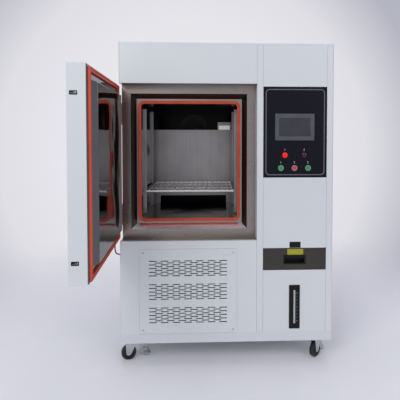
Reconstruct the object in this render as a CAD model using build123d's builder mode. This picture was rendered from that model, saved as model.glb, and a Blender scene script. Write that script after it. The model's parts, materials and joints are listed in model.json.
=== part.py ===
from build123d import *
from math import radians, tan
import os

os.makedirs("parts", exist_ok=True)

# Free-standing temperature and humidity test chamber: a cabinet on swivel casters with an
# insulated door on the left, standing open, and a control bay on the right.
# Millimetres. While it is drawn, X = 0 is the cabinet's middle, Y = 0 its front, Z = 0 the floor.

# Cabinet
cabinet_width = 1080.0
cabinet_depth = 1000.0
cabinet_top = 1635.0
base_bottom = 118.0
rail_height = 46.0
rail_width = 40.0
rail_wall = 4.0
sheet = 2.0
edge_radius = 12.0
pan_depth = 20.0
panel_gap = 0.8
seat_gap = 0.2
run_gap = 0.05

# Front layout, seen from the front
mullion_left = 150.0
mullion_width = 31.0
mullion_depth = 80.0
bay_right = 505.0
door_bottom = 638.0
door_top = 1430.0
sill_height = 39.0
louvre_left_inset = 97.0
louvre_right_inset = 100.0
bay_header_bottom = 1415.0
control_bottom = 958.0
drawer_top = 597.0
drawer_bottom = 485.0

# Chassis inside the covers
floor_plate = 3.0
bulkhead_left = 165.0
bulkhead_depth = 900.0
deck_plate = 3.0
leg_size = 40.0
front_leg_y = 110.0
leg_sheet = 3.0

# Louvre panel
slot_length = 39.0
slot_height = 5.0
slot_pitch = 59.0
slot_columns = 7
slot_row_pitch = 9.3
slot_rows = 9
slot_group_pitch = 119.6
slot_groups = 3
slot_group_top = 537.0
slot_first_x = -375.0
screw_inset = 19.0
louvre_frame = 30.0
screw_radius = 4.0

# Chamber
chamber_width = 500.0
chamber_height = 600.0
chamber_floor = 734.0
chamber_back = 765.0
liner_sheet = 1.5
flange_set_back = 81.0
flange_width = 45.0
reveal_inset = 25.0
reveal_depth = 32.0
ledge_corner_radius = 33.0
frame_gasket_width = 16.0
frame_gasket_height = 15.5
floor_fall = 6.0
drain_outer_radius = 11.0
drain_bore_radius = 8.0
drain_length = 140.0
drain_outlet_radius = 18.0
insulation_thickness = 100.0
chamber_seat = 0.3

# Air duct, coil and fan behind the working space
duct_front = 613.0
duct_drop = 132.0
return_height = 50.0
duct_leg_width = 40.0
duct_lip = 28.0
coil_front = 632.0
coil_depth = 48.0
coil_rise = 66.0
coil_drop = 234.0
coil_tube_radius = 6.0
coil_tube_rows = 6
blower_radius = 92.0
blower_width = 52.0
blower_clearance = 13.0
blower_drop = 122.0
blower_blades = 18
blower_blade_sheet = 2.0
blower_shaft_radius = 7.0
blower_motor_radius = 68.0
blower_motor_length = 84.0

# Shelf and its posts
post_width = 14.0
post_depth = 10.0
post_sheet = 1.2
post_rise = 8.0
post_height = 570.0
post_front_y = 230.0
post_rear_y = 520.0
post_slot_pitch = 60.0
shelf_rise = 130.2
shelf_width = 470.0
shelf_depth = 420.0
shelf_front = 165.0
shelf_rod_radius = 3.0
shelf_bar_radius = 2.5
shelf_bars = 15
shelf_lip_height = 12.0

# Chamber lamp and cable port
lamp_width = 84.0
lamp_height = 50.0
lamp_depth = 34.0
port_y = 368.0
port_rise = 347.0
port_radius = 25.0
port_wall = 2.0
port_flange = 10.0
port_flange_sheet = 2.0

# Door
door_gap = 2.5
door_shell_depth = 67.0
door_sheet = 1.5
rim_inset = 4.0
rim_thickness = 4.0
plug_inset = 53.0
plug_taper = 11.0
plug_face = 97.0
door_gasket_inset = 10.0
door_gasket_width = 18.0
door_gasket_gap = 0.4
hinge_side_offset = 22.0
hinge_set_back = 60.0
hinge_barrel_radius = 11.0
hinge_pin_radius = 5.0
hinge_length = 110.0
hinge_knuckle = 40.0
hinge_leaf_sheet = 4.0
hinge_leaf_length = 52.0
hinge_heights = (1280.0, 760.0)
door_open_angle = 87.0
latch_heights = (1323.0, 721.0)
latch_slot_depth = 28.0
latch_slot_height = 15.0
latch_set_back = 24.0
latch_clearance = 0.5
bolt_length = 60.0
bolt_proud = 1.0
bolt_travel = 12.0
strike_height = 38.0
strike_clearance = 1.0

# Door handle
handle_from_edge = 145.0
handle_height = 1026.0
rose_radius = 26.0
rose_thickness = 5.0
neck_radius = 12.0
neck_length = 18.0
lever_length = 128.0
lever_width = 22.0
lever_thickness = 12.0
spindle_radius = 6.0
spindle_length = 40.0

# Door cable between the two glands
cable_radius = 3.25
gland_radius = 9.0
gland_length = 15.0
gland_tail = 10.0
door_gland_y = 50.0
door_gland_z = 680.0
cabinet_gland_y = 86.0
cabinet_gland_z = 551.0

# Control panel and what is on it
touch_left = 240.0
touch_right = 440.0
touch_bottom = 1145.0
touch_top = 1280.0
touch_proud = 6.0
touch_body_inset = 8.0
touch_body_depth = 36.0
screen_margin_side = 19.0
screen_margin_end = 20.0
screen_recess = 1.0
glass_thickness = 3.0
button_z = 1006.0
button_xs = (270.4, 339.4, 408.4)
button_radius = 12.0
button_proud = 9.0
button_length = 24.0
ring_radius = 15.5
ring_proud = 5.0
ring_sleeve_wall = 1.6
ring_sleeve_length = 16.0
lamp_z = 1071.0
lamp_xs = (291.0, 389.0)
pilot_radius = 14.0
pilot_stem_radius = 10.0
pilot_proud = 8.0

# Water drawer and level gauge
drawer_pull_width = 104.0
drawer_pull_height = 38.0
drawer_pull_top = 557.0
drawer_pull_depth = 26.0
pull_wall = 2.0
pull_lip = 5.0
tank_width = 284.0
tank_height = 88.0
tank_length = 300.0
tank_wall = 3.0
drawer_shelf_plate = 3.0
drawer_shelf_depth = 400.0
gauge_left = 316.0
gauge_width = 55.0
gauge_bottom = 182.0
gauge_height = 225.0
gauge_plate = 2.5
gauge_slot_width = 11.0
gauge_tube_radius = 4.5
gauge_tube_length = 168.0

# Refrigeration in the lower bay
condenser_width = 470.0
condenser_height = 370.0
condenser_front = 62.0
condenser_core = 50.0
shroud_depth = 40.0
shroud_sheet = 1.5
fan_radius = 145.0
fan_tip_gap = 6.0
fan_hub_radius = 38.0
fan_blades = 5
fan_width = 26.0
fan_motor_radius = 42.0
fan_motor_length = 50.0
fan_shaft_radius = 5.0
fan_strut = 12.0
compressor_x = -260.0
compressor_y = 560.0
compressor_radius = 92.0
compressor_height = 300.0
compressor_foot = 12.0

# Rear cover
rear_vent_columns = 6
rear_vent_rows = 5
rear_vent_length = 70.0
rear_vent_height = 8.0
rear_vent_pitch_x = 90.0
rear_vent_pitch_z = 26.0

# Casters and levelling feet
wheel_radius = 38.0
wheel_width = 25.0
wheel_hub_radius = 15.0
axle_radius = 4.0
caster_trail = 18.0
fork_sheet = 3.0
fork_side_gap = 0.6
fork_top_width = 62.0
fork_foot_radius = 13.0
fork_crown_top = 104.0
fork_crown_sheet = 6.0
swivel_radius = 28.0
caster_plate = 6.0
caster_plate_size = 78.0
king_pin_radius = 6.0
front_caster_y = 85.0
left_caster_x = -495.0
right_caster_x = 481.0
rear_caster_y = 915.0
rear_caster_x = 490.0
caster_yaws = (15.0, 45.0, 160.0, 110.0)
foot_lift = 6.0
foot_pad_radius = 25.0
foot_pad_height = 16.0
foot_stem_radius = 9.0
foot_stem_height = 118.0
foot_nut_radius = 15.0
foot_nut_height = 12.0
left_foot_offset = (62.0, 52.0)
right_foot_offset = (32.0, 76.0)
rear_foot_inset = (72.0, 38.0)

# Places that follow from the sizes above
half_width = cabinet_width / 2
rail_top = base_bottom + rail_height
mullion_right = mullion_left + mullion_width
sill_bottom = door_bottom - sill_height
opening_middle = (mullion_left - half_width) / 2
opening_half = (mullion_left + half_width) / 2
flange_inner_half = opening_half - flange_width
ledge_half = flange_inner_half - reveal_inset
chamber_half = chamber_width / 2
chamber_top = chamber_floor + chamber_height
chamber_middle = chamber_floor + chamber_height / 2
duct_top = chamber_top - duct_drop
coil_bottom = chamber_floor + coil_rise
coil_top = chamber_top - coil_drop
blower_height = chamber_top - blower_drop
blower_front = chamber_back - blower_clearance - blower_width
port_z = chamber_floor + port_rise
post_bottom = chamber_floor + post_rise
shelf_bottom = chamber_floor + shelf_rise
insulation_back = chamber_back + insulation_thickness
door_middle = (door_bottom + door_top) / 2
ledge_y = flange_set_back + reveal_depth
ledge_back = ledge_y + liner_sheet
flange_back = flange_set_back + liner_sheet
flange_half_height = (door_top - door_bottom) / 2
liner_front = ledge_back + seat_gap
liner_depth = chamber_back - liner_front
drain_y = (chamber_back + liner_front) / 2
deck_top = sill_bottom
hinge_x = -half_width - hinge_side_offset
hinge_y = hinge_set_back
bay_left = mullion_right
drawer_shelf_top = drawer_bottom - panel_gap

# The door and everything on it is drawn closed, then swung open about the hinge pins
door_swing = (
    Location((hinge_x, hinge_y, 0))
    * Location((0, 0, 0), (0, 0, -door_open_angle))
    * Location((-hinge_x, -hinge_y, 0))
)
pieces = {}


def keep(piece, node, place=Location()):
    """Sets a finished piece in its place on the cabinet, under its node's name."""
    pieces[node] = piece.part.moved(place)


def front_plane(set_back=0.0):
    """The plane of the cabinet's front, facing forwards, moved back by set_back."""
    return Plane.XZ.offset(-set_back)


def rectangle_between(x0, x1, z0, z1, mode=Mode.ADD):
    """A rectangle in a sketch, between two corners."""
    with Locations(((x0 + x1) / 2, (z0 + z1) / 2)):
        Rectangle(x1 - x0, z1 - z0, mode=mode)


def pan(x0, x1, z0, z1, rounded=False):
    """A sheet-metal cover, its edges folded back, its left edge rounded at a corner."""
    with BuildPart() as cover:
        with BuildSketch(front_plane()):
            rectangle_between(x0, x1, z0, z1)
        extrude(amount=-pan_depth)
        if rounded:
            front_edges = cover.edges().filter_by(Axis.Z).group_by(Axis.Y)[0]
            fillet(front_edges.sort_by(Axis.X)[0], edge_radius)
        offset(amount=-sheet, openings=cover.faces().sort_by(Axis.Y)[-1])
    return cover.part


# Chassis: base ring, floor, bulkhead between the two bays, deck under the chamber and its legs
caster_places = (
    (left_caster_x, front_caster_y),
    (right_caster_x, front_caster_y),
    (-rear_caster_x, rear_caster_y),
    (rear_caster_x, rear_caster_y),
)
foot_places = (
    (left_caster_x + left_foot_offset[0], front_caster_y + left_foot_offset[1]),
    (right_caster_x + right_foot_offset[0], front_caster_y + right_foot_offset[1]),
    (-rear_caster_x + rear_foot_inset[0], rear_caster_y - rear_foot_inset[1]),
    (rear_caster_x - rear_foot_inset[0], rear_caster_y - rear_foot_inset[1]),
)
inner_left = -half_width + sheet + seat_gap
with BuildPart() as chassis:
    with BuildSketch(Plane.XY.offset(base_bottom)):
        with Locations((0, cabinet_depth / 2)):
            RectangleRounded(cabinet_width, cabinet_depth, edge_radius)
            Rectangle(
                cabinet_width - 2 * rail_width,
                cabinet_depth - 2 * rail_width,
                mode=Mode.SUBTRACT,
            )
    extrude(amount=rail_height)
    with BuildSketch(Plane.XY.offset(base_bottom + floor_plate)):
        with Locations((0, cabinet_depth / 2)):
            Rectangle(cabinet_width - 2 * rail_wall, cabinet_depth - 2 * rail_wall)
            Rectangle(
                cabinet_width - 2 * rail_width + 2 * rail_wall,
                cabinet_depth - 2 * rail_width + 2 * rail_wall,
                mode=Mode.SUBTRACT,
            )
    extrude(amount=rail_height - floor_plate - rail_wall, mode=Mode.SUBTRACT)
    with BuildSketch(Plane.XY.offset(base_bottom)):
        with Locations((0, cabinet_depth / 2)):
            Rectangle(cabinet_width - rail_width, cabinet_depth - rail_width)
    extrude(amount=floor_plate)
    # The hose of the chamber's drain leaves through the floor, straight below it
    with Locations((opening_middle, drain_y, base_bottom + floor_plate)):
        Hole(drain_outlet_radius, depth=floor_plate)
    bulkhead_front = mullion_depth + seat_gap
    with BuildSketch(Plane.YZ.offset(bulkhead_left)):
        rectangle_between(
            bulkhead_front, bulkhead_front + bulkhead_depth, base_bottom, bay_header_bottom
        )
    extrude(amount=sheet)
    with BuildSketch(Plane.XY.offset(deck_top)):
        rectangle_between(
            inner_left, bulkhead_left + sheet, bulkhead_front, bulkhead_front + bulkhead_depth
        )
    extrude(amount=-deck_plate)
    with Locations((opening_middle, drain_y, deck_top)):
        Hole(drain_outer_radius + chamber_seat, depth=deck_plate)
    leg_outer = inner_left + leg_size
    for leg_y in (front_leg_y, bulkhead_front + bulkhead_depth - leg_size):
        with BuildSketch(Plane.XY.offset(base_bottom)):
            rectangle_between(inner_left, leg_outer, leg_y, leg_y + leg_size)
            rectangle_between(
                inner_left + leg_sheet,
                leg_outer,
                leg_y + leg_sheet,
                leg_y + leg_size,
                mode=Mode.SUBTRACT,
            )
        extrude(amount=deck_top - base_bottom)
    # The shelf that the water tank slides on, folded down at its free edge
    shelf_end = half_width - sheet - seat_gap
    with BuildSketch(Plane.XZ.offset(-bulkhead_front)):
        rectangle_between(
            bulkhead_left, shelf_end, drawer_shelf_top - drawer_shelf_plate, drawer_shelf_top
        )
        rectangle_between(
            shelf_end - drawer_shelf_plate, shelf_end, base_bottom, drawer_shelf_top
        )
    extrude(amount=-drawer_shelf_depth)
    # Caster plates with the bore of the king pin, and nuts welded in for the feet
    with BuildSketch(Plane.XY.offset(base_bottom)):
        for place in caster_places:
            with Locations(place):
                RectangleRounded(caster_plate_size, caster_plate_size, sheet)
    extrude(amount=-caster_plate)
    for place in caster_places:
        with Locations((*place, base_bottom + floor_plate)):
            Hole(king_pin_radius + run_gap, depth=floor_plate + caster_plate)
    for place in foot_places:
        with BuildSketch(Plane.XY.offset(base_bottom - foot_nut_height)):
            with Locations(place):
                RegularPolygon(foot_nut_radius, 6)
        extrude(amount=foot_nut_height)
        with Locations((*place, base_bottom + rail_height / 2)):
            Hole(foot_stem_radius + run_gap, depth=rail_height / 2 + foot_nut_height)
keep(chassis, "chassis")

# Side covers: each stands on the base rails, and its top edge carries the roof
side_bottom = rail_top + seat_gap
side_top = cabinet_top - edge_radius
side_front = pan_depth + panel_gap
with BuildPart() as left_side_panel:
    with BuildSketch(Plane.YZ.offset(-half_width)):
        rectangle_between(side_front, cabinet_depth - panel_gap, side_bottom, side_top)
        rectangle_between(
            side_front, flange_back + seat_gap, door_bottom, door_top, mode=Mode.SUBTRACT
        )
        with Locations((port_y, port_z)):
            Circle(port_radius + port_wall + seat_gap, mode=Mode.SUBTRACT)
        with Locations((cabinet_gland_y, cabinet_gland_z)):
            Circle(gland_radius - port_wall + seat_gap, mode=Mode.SUBTRACT)
    extrude(amount=sheet)
keep(left_side_panel, "left_side_panel")

with BuildPart() as right_side_panel:
    with BuildSketch(Plane.XY.offset(side_bottom)):
        rectangle_between(bay_right, half_width, 0, cabinet_depth - panel_gap)
        rectangle_between(
            bay_right, half_width - sheet, sheet, cabinet_depth, mode=Mode.SUBTRACT
        )
        corners = vertices().sort_by(lambda corner: corner.X - corner.Y)
        fillet(corners[-1], edge_radius)
        corners = vertices().filter_by_position(Axis.Y, sheet - 0.1, sheet + 0.1)
        fillet(corners.sort_by(Axis.X)[-1], edge_radius - sheet)
    extrude(amount=side_top - side_bottom)
keep(right_side_panel, "right_side_panel")

# Roof: a cap with rounded edges that closes over the side, front and rear covers
with BuildPart() as roof_panel:
    for mode, wall in ((Mode.ADD, 0.0), (Mode.SUBTRACT, sheet)):
        with BuildPart(mode=mode) as roof_block:
            with BuildSketch(Plane.XY.offset(side_top + seat_gap)):
                with Locations((0, cabinet_depth / 2)):
                    RectangleRounded(
                        cabinet_width - 2 * wall, cabinet_depth - 2 * wall, edge_radius - wall
                    )
            extrude(amount=cabinet_top - side_top - seat_gap - wall)
            fillet(roof_block.faces().sort_by(Axis.Z)[-1].edges(), edge_radius / 2 - wall)
keep(roof_panel, "roof_panel")

# Rear cover with its two groups of vents
with BuildPart() as rear_panel:
    with BuildSketch(front_plane(cabinet_depth - sheet)):
        rectangle_between(
            -half_width + sheet + panel_gap,
            half_width - sheet - panel_gap,
            side_bottom,
            side_top,
        )
        for vent_z in (sill_bottom / 2 + rail_top / 2, bay_header_bottom):
            with Locations((0, vent_z)):
                with GridLocations(
                    rear_vent_pitch_x, rear_vent_pitch_z, rear_vent_columns, rear_vent_rows
                ):
                    Rectangle(rear_vent_length, rear_vent_height, mode=Mode.SUBTRACT)
    extrude(amount=-sheet)
keep(rear_panel, "rear_panel")

# Front covers
header_top = side_top
bay_cover_left = bay_left + panel_gap
bay_cover_right = bay_right - panel_gap
left_cover_right = mullion_left - panel_gap
with BuildPart() as header_panels:
    add(pan(-half_width, left_cover_right, door_top, header_top, rounded=True))
    add(pan(bay_cover_left, bay_cover_right, bay_header_bottom + panel_gap, header_top))
keep(header_panels, "header_panels")

# Mullion post: a square tube with a hole for each latch bolt in its left wall
with BuildPart() as mullion_post:
    with BuildSketch(Plane.XY.offset(rail_top + seat_gap)):
        rectangle_between(mullion_left, mullion_right, 0, mullion_depth)
        rectangle_between(
            mullion_left + sheet,
            mullion_right - sheet,
            sheet,
            mullion_depth - sheet,
            mode=Mode.SUBTRACT,
        )
    extrude(amount=header_top - rail_top - seat_gap)
    with BuildSketch(Plane.YZ.offset(mullion_left)):
        for latch_z in latch_heights:
            with Locations((latch_set_back, latch_z)):
                Rectangle(latch_slot_depth + 2 * strike_clearance, strike_height)
    extrude(amount=sheet, mode=Mode.SUBTRACT)
keep(mullion_post, "mullion_post")

# Lower front cover, with the sill under the door and the opening behind the louvre panel
louvre_left = -half_width + louvre_left_inset
louvre_right = mullion_left - louvre_right_inset
louvre_bottom = rail_top + seat_gap + sheet
louvre_top = sill_bottom - panel_gap
with BuildPart() as lower_front_panel:
    add(pan(-half_width, left_cover_right, rail_top + seat_gap, door_bottom, rounded=True))
    with BuildSketch(front_plane()):
        rectangle_between(louvre_left, louvre_right, louvre_bottom, louvre_top)
    extrude(amount=-sheet, mode=Mode.SUBTRACT)
    # A frame behind the opening, which the louvre panel is screwed to
    with BuildSketch(front_plane(sheet)):
        rectangle_between(
            louvre_left - sheet, louvre_right + sheet, louvre_bottom - sheet, louvre_top + sheet
        )
        rectangle_between(
            louvre_left + louvre_frame,
            louvre_right - louvre_frame,
            louvre_bottom + louvre_frame,
            louvre_top - louvre_frame,
            mode=Mode.SUBTRACT,
        )
    extrude(amount=-sheet)
keep(lower_front_panel, "lower_front_panel")

# Louvre panel: three groups of slots, each row set half a pitch from the next
with BuildPart() as louvre_panel:
    with BuildSketch(front_plane(-seat_gap)):
        rectangle_between(
            louvre_left + panel_gap,
            louvre_right - panel_gap,
            louvre_bottom + panel_gap,
            louvre_top - panel_gap,
        )
        for group in range(slot_groups):
            for row in range(slot_rows):
                row_z = slot_group_top - group * slot_group_pitch - row * slot_row_pitch
                shift = slot_pitch / 2 * (row % 2)
                for column in range(slot_columns - row % 2):
                    with Locations((slot_first_x + shift + column * slot_pitch, row_z)):
                        Rectangle(slot_length, slot_height, mode=Mode.SUBTRACT)
    extrude(amount=-sheet)
    screw_xs = (louvre_left + screw_inset, louvre_right - screw_inset)
    screw_zs = (louvre_bottom + screw_inset, louvre_top - screw_inset)
    for screw_x in screw_xs:
        for screw_z in screw_zs:
            with BuildSketch(front_plane(-seat_gap)):
                with Locations((screw_x, screw_z)):
                    Circle(screw_radius)
            extrude(amount=sheet / 2)
keep(louvre_panel, "louvre_panel")

# Covers of the control bay: above the drawer, and below it with the gauge
gauge_middle = gauge_left + gauge_width / 2
gauge_mid_z = gauge_bottom + gauge_height / 2
with BuildPart() as service_panels:
    add(pan(bay_cover_left, bay_cover_right, drawer_top + panel_gap, control_bottom - panel_gap))
    add(pan(bay_cover_left, bay_cover_right, rail_top + seat_gap, drawer_bottom - panel_gap))
    with BuildSketch(front_plane()):
        with Locations((gauge_middle, gauge_mid_z)):
            SlotOverall(gauge_tube_length, gauge_slot_width, rotation=90)
    extrude(amount=-sheet, mode=Mode.SUBTRACT)
keep(service_panels, "service_panels")

# Control panel, black, with a cut-out for the touchscreen and holes for lamps and buttons
sleeve_radius = button_radius + run_gap + ring_sleeve_wall
with BuildPart() as control_panel:
    add(pan(bay_cover_left, bay_cover_right, control_bottom, bay_header_bottom))
    with BuildSketch(front_plane()):
        rectangle_between(
            touch_left + touch_body_inset - seat_gap,
            touch_right - touch_body_inset + seat_gap,
            touch_bottom + touch_body_inset - seat_gap,
            touch_top - touch_body_inset + seat_gap,
        )
        for x in button_xs:
            with Locations((x, button_z)):
                Circle(sleeve_radius + seat_gap)
        for x in lamp_xs:
            with Locations((x, lamp_z)):
                Circle(pilot_stem_radius + seat_gap)
    extrude(amount=-sheet, mode=Mode.SUBTRACT)
keep(control_panel, "control_panel")

# Touchscreen: a bezel on a body that goes back through the panel, with glass let into it
with BuildPart() as touch_bezel:
    with BuildSketch(front_plane(-seat_gap)):
        rectangle_between(touch_left, touch_right, touch_bottom, touch_top)
        fillet(vertices(), 5)
    extrude(amount=touch_proud)
    chamfer(touch_bezel.faces().sort_by(Axis.Y)[0].edges(), 2)
    with BuildSketch(front_plane(-seat_gap)):
        rectangle_between(
            touch_left + touch_body_inset,
            touch_right - touch_body_inset,
            touch_bottom + touch_body_inset,
            touch_top - touch_body_inset,
        )
    extrude(amount=-touch_body_depth)
    with BuildSketch(front_plane(-seat_gap - touch_proud)):
        rectangle_between(
            touch_left + screen_margin_side,
            touch_right - screen_margin_side,
            touch_bottom + screen_margin_end,
            touch_top - screen_margin_end,
        )
    extrude(amount=-screen_recess - glass_thickness, mode=Mode.SUBTRACT)
with BuildPart() as screen_glass:
    with BuildSketch(front_plane(-seat_gap - touch_proud + screen_recess)):
        rectangle_between(
            touch_left + screen_margin_side + seat_gap,
            touch_right - screen_margin_side - seat_gap,
            touch_bottom + screen_margin_end + seat_gap,
            touch_top - screen_margin_end - seat_gap,
        )
    extrude(amount=-glass_thickness + seat_gap)
with BuildPart() as touchscreen:
    add(touch_bezel.part)
    add(screen_glass.part)
keep(touchscreen, "touchscreen")

# Pilot lamps: domed lenses on stems through the panel
with BuildPart() as pilot_lamps:
    with BuildSketch(front_plane(-seat_gap)):
        for x in lamp_xs:
            with Locations((x, lamp_z)):
                Circle(pilot_radius)
    extrude(amount=pilot_proud)
    fillet(pilot_lamps.faces().group_by(Axis.Y)[0].edges(), pilot_proud * 0.6)
    with BuildSketch(front_plane(-seat_gap)):
        for x in lamp_xs:
            with Locations((x, lamp_z)):
                Circle(pilot_stem_radius)
    extrude(amount=-pan_depth)
keep(pilot_lamps, "pilot_lamps")

# Button rings, each with a sleeve through the panel, and the three push buttons in them
with BuildPart() as button_rings:
    for x in button_xs:
        with BuildSketch(front_plane(-seat_gap)):
            with Locations((x, button_z)):
                Circle(ring_radius)
        extrude(amount=ring_proud, taper=12)
        with BuildSketch(front_plane(-seat_gap)):
            with Locations((x, button_z)):
                Circle(sleeve_radius)
        extrude(amount=-ring_sleeve_length)
        with Locations(front_plane(-seat_gap - ring_proud) * Location((x, button_z, 0))):
            Hole(button_radius + run_gap)
keep(button_rings, "button_rings")

for x, node in zip(button_xs, ("button_run", "button_stop", "button_light")):
    with BuildPart() as button:
        with BuildSketch(front_plane(-button_proud)):
            with Locations((x, button_z)):
                Circle(button_radius)
        extrude(amount=-button_length)
        fillet(button.faces().sort_by(Axis.Y)[0].edges(), 2)
    keep(button, node)

# Level gauge: a slotted plate on the lower cover, with its clear tube in the slot
with BuildPart() as gauge_plate_part:
    with BuildSketch(front_plane(-seat_gap)):
        rectangle_between(
            gauge_left, gauge_left + gauge_width, gauge_bottom, gauge_bottom + gauge_height
        )
        with Locations((gauge_middle, gauge_mid_z)):
            SlotOverall(gauge_tube_length, gauge_slot_width, rotation=90, mode=Mode.SUBTRACT)
    extrude(amount=gauge_plate)
with BuildPart() as gauge_tube:
    tube_end = gauge_tube_length - gauge_slot_width
    with BuildSketch(Plane.XY.offset(gauge_mid_z - tube_end / 2)):
        with Locations((gauge_middle, sheet)):
            Circle(gauge_tube_radius)
    extrude(amount=tube_end)
    # Fittings that close the tube at both ends, behind the cover
    for end in (gauge_mid_z - tube_end / 2, gauge_mid_z + tube_end / 2):
        with BuildSketch(front_plane(sheet + seat_gap)):
            with Locations((gauge_middle, end)):
                Rectangle(gauge_slot_width * 2, gauge_slot_width)
        extrude(amount=-pan_depth / 2)
with BuildPart() as level_gauge:
    add(gauge_plate_part.part)
    add(gauge_tube.part)
keep(level_gauge, "level_gauge")

# Stepped frame round the chamber's mouth: flange, sloping reveal and the ledge of the seal
frame_plane = front_plane(flange_set_back)
ledge_plane = front_plane(ledge_y)
with BuildPart() as door_frame:
    with BuildSketch(frame_plane):
        with Locations((opening_middle, door_middle)):
            Rectangle(2 * opening_half - 2 * seat_gap, 2 * flange_half_height - 2 * seat_gap)
            Rectangle(
                2 * flange_inner_half,
                2 * (flange_half_height - flange_width),
                mode=Mode.SUBTRACT,
            )
    extrude(amount=-liner_sheet)
    reveal_walls = []
    for wall in (liner_sheet, 0.0):
        with BuildPart(mode=Mode.PRIVATE) as reveal:
            with BuildSketch(frame_plane):
                with Locations((opening_middle, door_middle)):
                    Rectangle(
                        2 * (flange_inner_half + wall),
                        2 * (flange_half_height - flange_width + wall),
                    )
            with BuildSketch(ledge_plane):
                with Locations((opening_middle, door_middle)):
                    Rectangle(
                        2 * (ledge_half + wall),
                        2 * (flange_half_height - flange_width - reveal_inset + wall),
                    )
            loft()
        reveal_walls.append(reveal.part)
    add(reveal_walls[0])
    add(reveal_walls[1], mode=Mode.SUBTRACT)
    with BuildSketch(ledge_plane):
        with Locations((opening_middle, door_middle)):
            Rectangle(
                2 * (ledge_half + liner_sheet),
                2 * (flange_half_height - flange_width - reveal_inset + liner_sheet),
            )
        with Locations((opening_middle, chamber_middle)):
            Rectangle(chamber_width, chamber_height, mode=Mode.SUBTRACT)
    extrude(amount=-liner_sheet)
keep(door_frame, "door_frame")

# Seal on the ledge, which the closed door's plug presses on
with BuildPart() as frame_gasket:
    gasket_half = chamber_half + frame_gasket_width + seat_gap
    gasket_half_height = chamber_height / 2 + frame_gasket_width + seat_gap
    with BuildSketch(front_plane(ledge_y - seat_gap)):
        with Locations((opening_middle, chamber_middle)):
            RectangleRounded(2 * gasket_half, 2 * gasket_half_height, ledge_corner_radius)
            RectangleRounded(
                2 * (gasket_half - frame_gasket_width),
                2 * (gasket_half_height - frame_gasket_width),
                ledge_corner_radius - frame_gasket_width,
                mode=Mode.SUBTRACT,
            )
    extrude(amount=frame_gasket_height)
    chamfer(frame_gasket.faces().sort_by(Axis.Y)[0].edges(), 3)
keep(frame_gasket, "frame_gasket")

# Chamber liner, open at the front, with a floor that falls to the drain
shaft_hole = blower_shaft_radius + 1.5
with BuildPart() as chamber_liner:
    with BuildSketch(front_plane(liner_front)):
        rectangle_between(
            opening_middle - chamber_half - liner_sheet,
            opening_middle + chamber_half + liner_sheet,
            chamber_floor - floor_fall - liner_sheet,
            chamber_top + liner_sheet,
        )
    extrude(amount=-liner_depth - liner_sheet)
    with BuildSketch(front_plane(liner_front)):
        rectangle_between(
            opening_middle - chamber_half,
            opening_middle + chamber_half,
            chamber_floor,
            chamber_top,
        )
    extrude(amount=-liner_depth, mode=Mode.SUBTRACT)
    with BuildSketch(Plane.XY.offset(chamber_floor)):
        with Locations((opening_middle, drain_y)):
            Rectangle(chamber_width, liner_depth)
    with BuildSketch(Plane.XY.offset(chamber_floor - floor_fall)):
        with Locations((opening_middle, drain_y)):
            Rectangle(2 * drain_outer_radius, 2 * drain_outer_radius)
    loft(mode=Mode.SUBTRACT)
    drain_top = chamber_floor - floor_fall
    with BuildSketch(Plane.XY.offset(drain_top - liner_sheet)):
        with Locations((opening_middle, drain_y)):
            Circle(drain_outer_radius)
    extrude(amount=-drain_length)
    with Locations((opening_middle, drain_y, drain_top)):
        Hole(drain_bore_radius, depth=drain_length + 2 * liner_sheet)
    with BuildSketch(front_plane(chamber_back)):
        with Locations((opening_middle, blower_height)):
            Circle(shaft_hole)
    extrude(amount=-liner_sheet, mode=Mode.SUBTRACT)
    with BuildSketch(Plane.YZ.offset(opening_middle - chamber_half - liner_sheet)):
        with Locations((port_y, port_z)):
            Circle(port_radius + port_wall + seat_gap)
    extrude(amount=liner_sheet, mode=Mode.SUBTRACT)
keep(chamber_liner, "chamber_liner")

# Foam insulation round the liner, standing on the deck
with BuildPart() as insulation:
    foam_front = ledge_back + seat_gap
    with BuildSketch(front_plane(foam_front)):
        rectangle_between(
            -half_width + sheet + chamber_seat,
            bulkhead_left - chamber_seat,
            deck_top + chamber_seat,
            door_top,
        )
    extrude(amount=-(insulation_back - foam_front))
    with BuildSketch(front_plane(foam_front)):
        rectangle_between(
            opening_middle - chamber_half - liner_sheet - chamber_seat,
            opening_middle + chamber_half + liner_sheet + chamber_seat,
            chamber_floor - floor_fall - liner_sheet - chamber_seat,
            chamber_top + liner_sheet + chamber_seat,
        )
    extrude(amount=-(liner_depth + liner_sheet + chamber_seat), mode=Mode.SUBTRACT)
    with BuildSketch(front_plane(insulation_back)):
        with Locations((opening_middle, blower_height)):
            Circle(shaft_hole)
    extrude(amount=insulation_back - chamber_back, mode=Mode.SUBTRACT)
    with BuildSketch(Plane.XY.offset(chamber_floor)):
        with Locations((opening_middle, drain_y)):
            Circle(drain_outer_radius + chamber_seat)
    extrude(amount=-(chamber_floor - deck_top), mode=Mode.SUBTRACT)
    with BuildSketch(Plane.YZ.offset(-half_width)):
        with Locations((port_y, port_z)):
            Circle(port_radius + port_wall + chamber_seat)
    extrude(amount=opening_middle - chamber_half + half_width, mode=Mode.SUBTRACT)
keep(insulation, "insulation")

# Duct panel that hides the coil, with the air outlet above it and the return below
with BuildPart() as duct_panel:
    duct_half = chamber_half - panel_gap
    with BuildSketch(front_plane(duct_front)):
        rectangle_between(
            opening_middle - duct_half,
            opening_middle + duct_half,
            chamber_floor + chamber_seat,
            duct_top,
        )
        rectangle_between(
            opening_middle - duct_half + duct_leg_width,
            opening_middle + duct_half - duct_leg_width,
            chamber_floor,
            chamber_floor + return_height,
            mode=Mode.SUBTRACT,
        )
    extrude(amount=-liner_sheet)
    with BuildSketch(front_plane(duct_front)):
        rectangle_between(
            opening_middle - duct_half,
            opening_middle + duct_half,
            duct_top - liner_sheet,
            duct_top,
        )
    extrude(amount=-duct_lip)
keep(duct_panel, "duct_panel")

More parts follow.
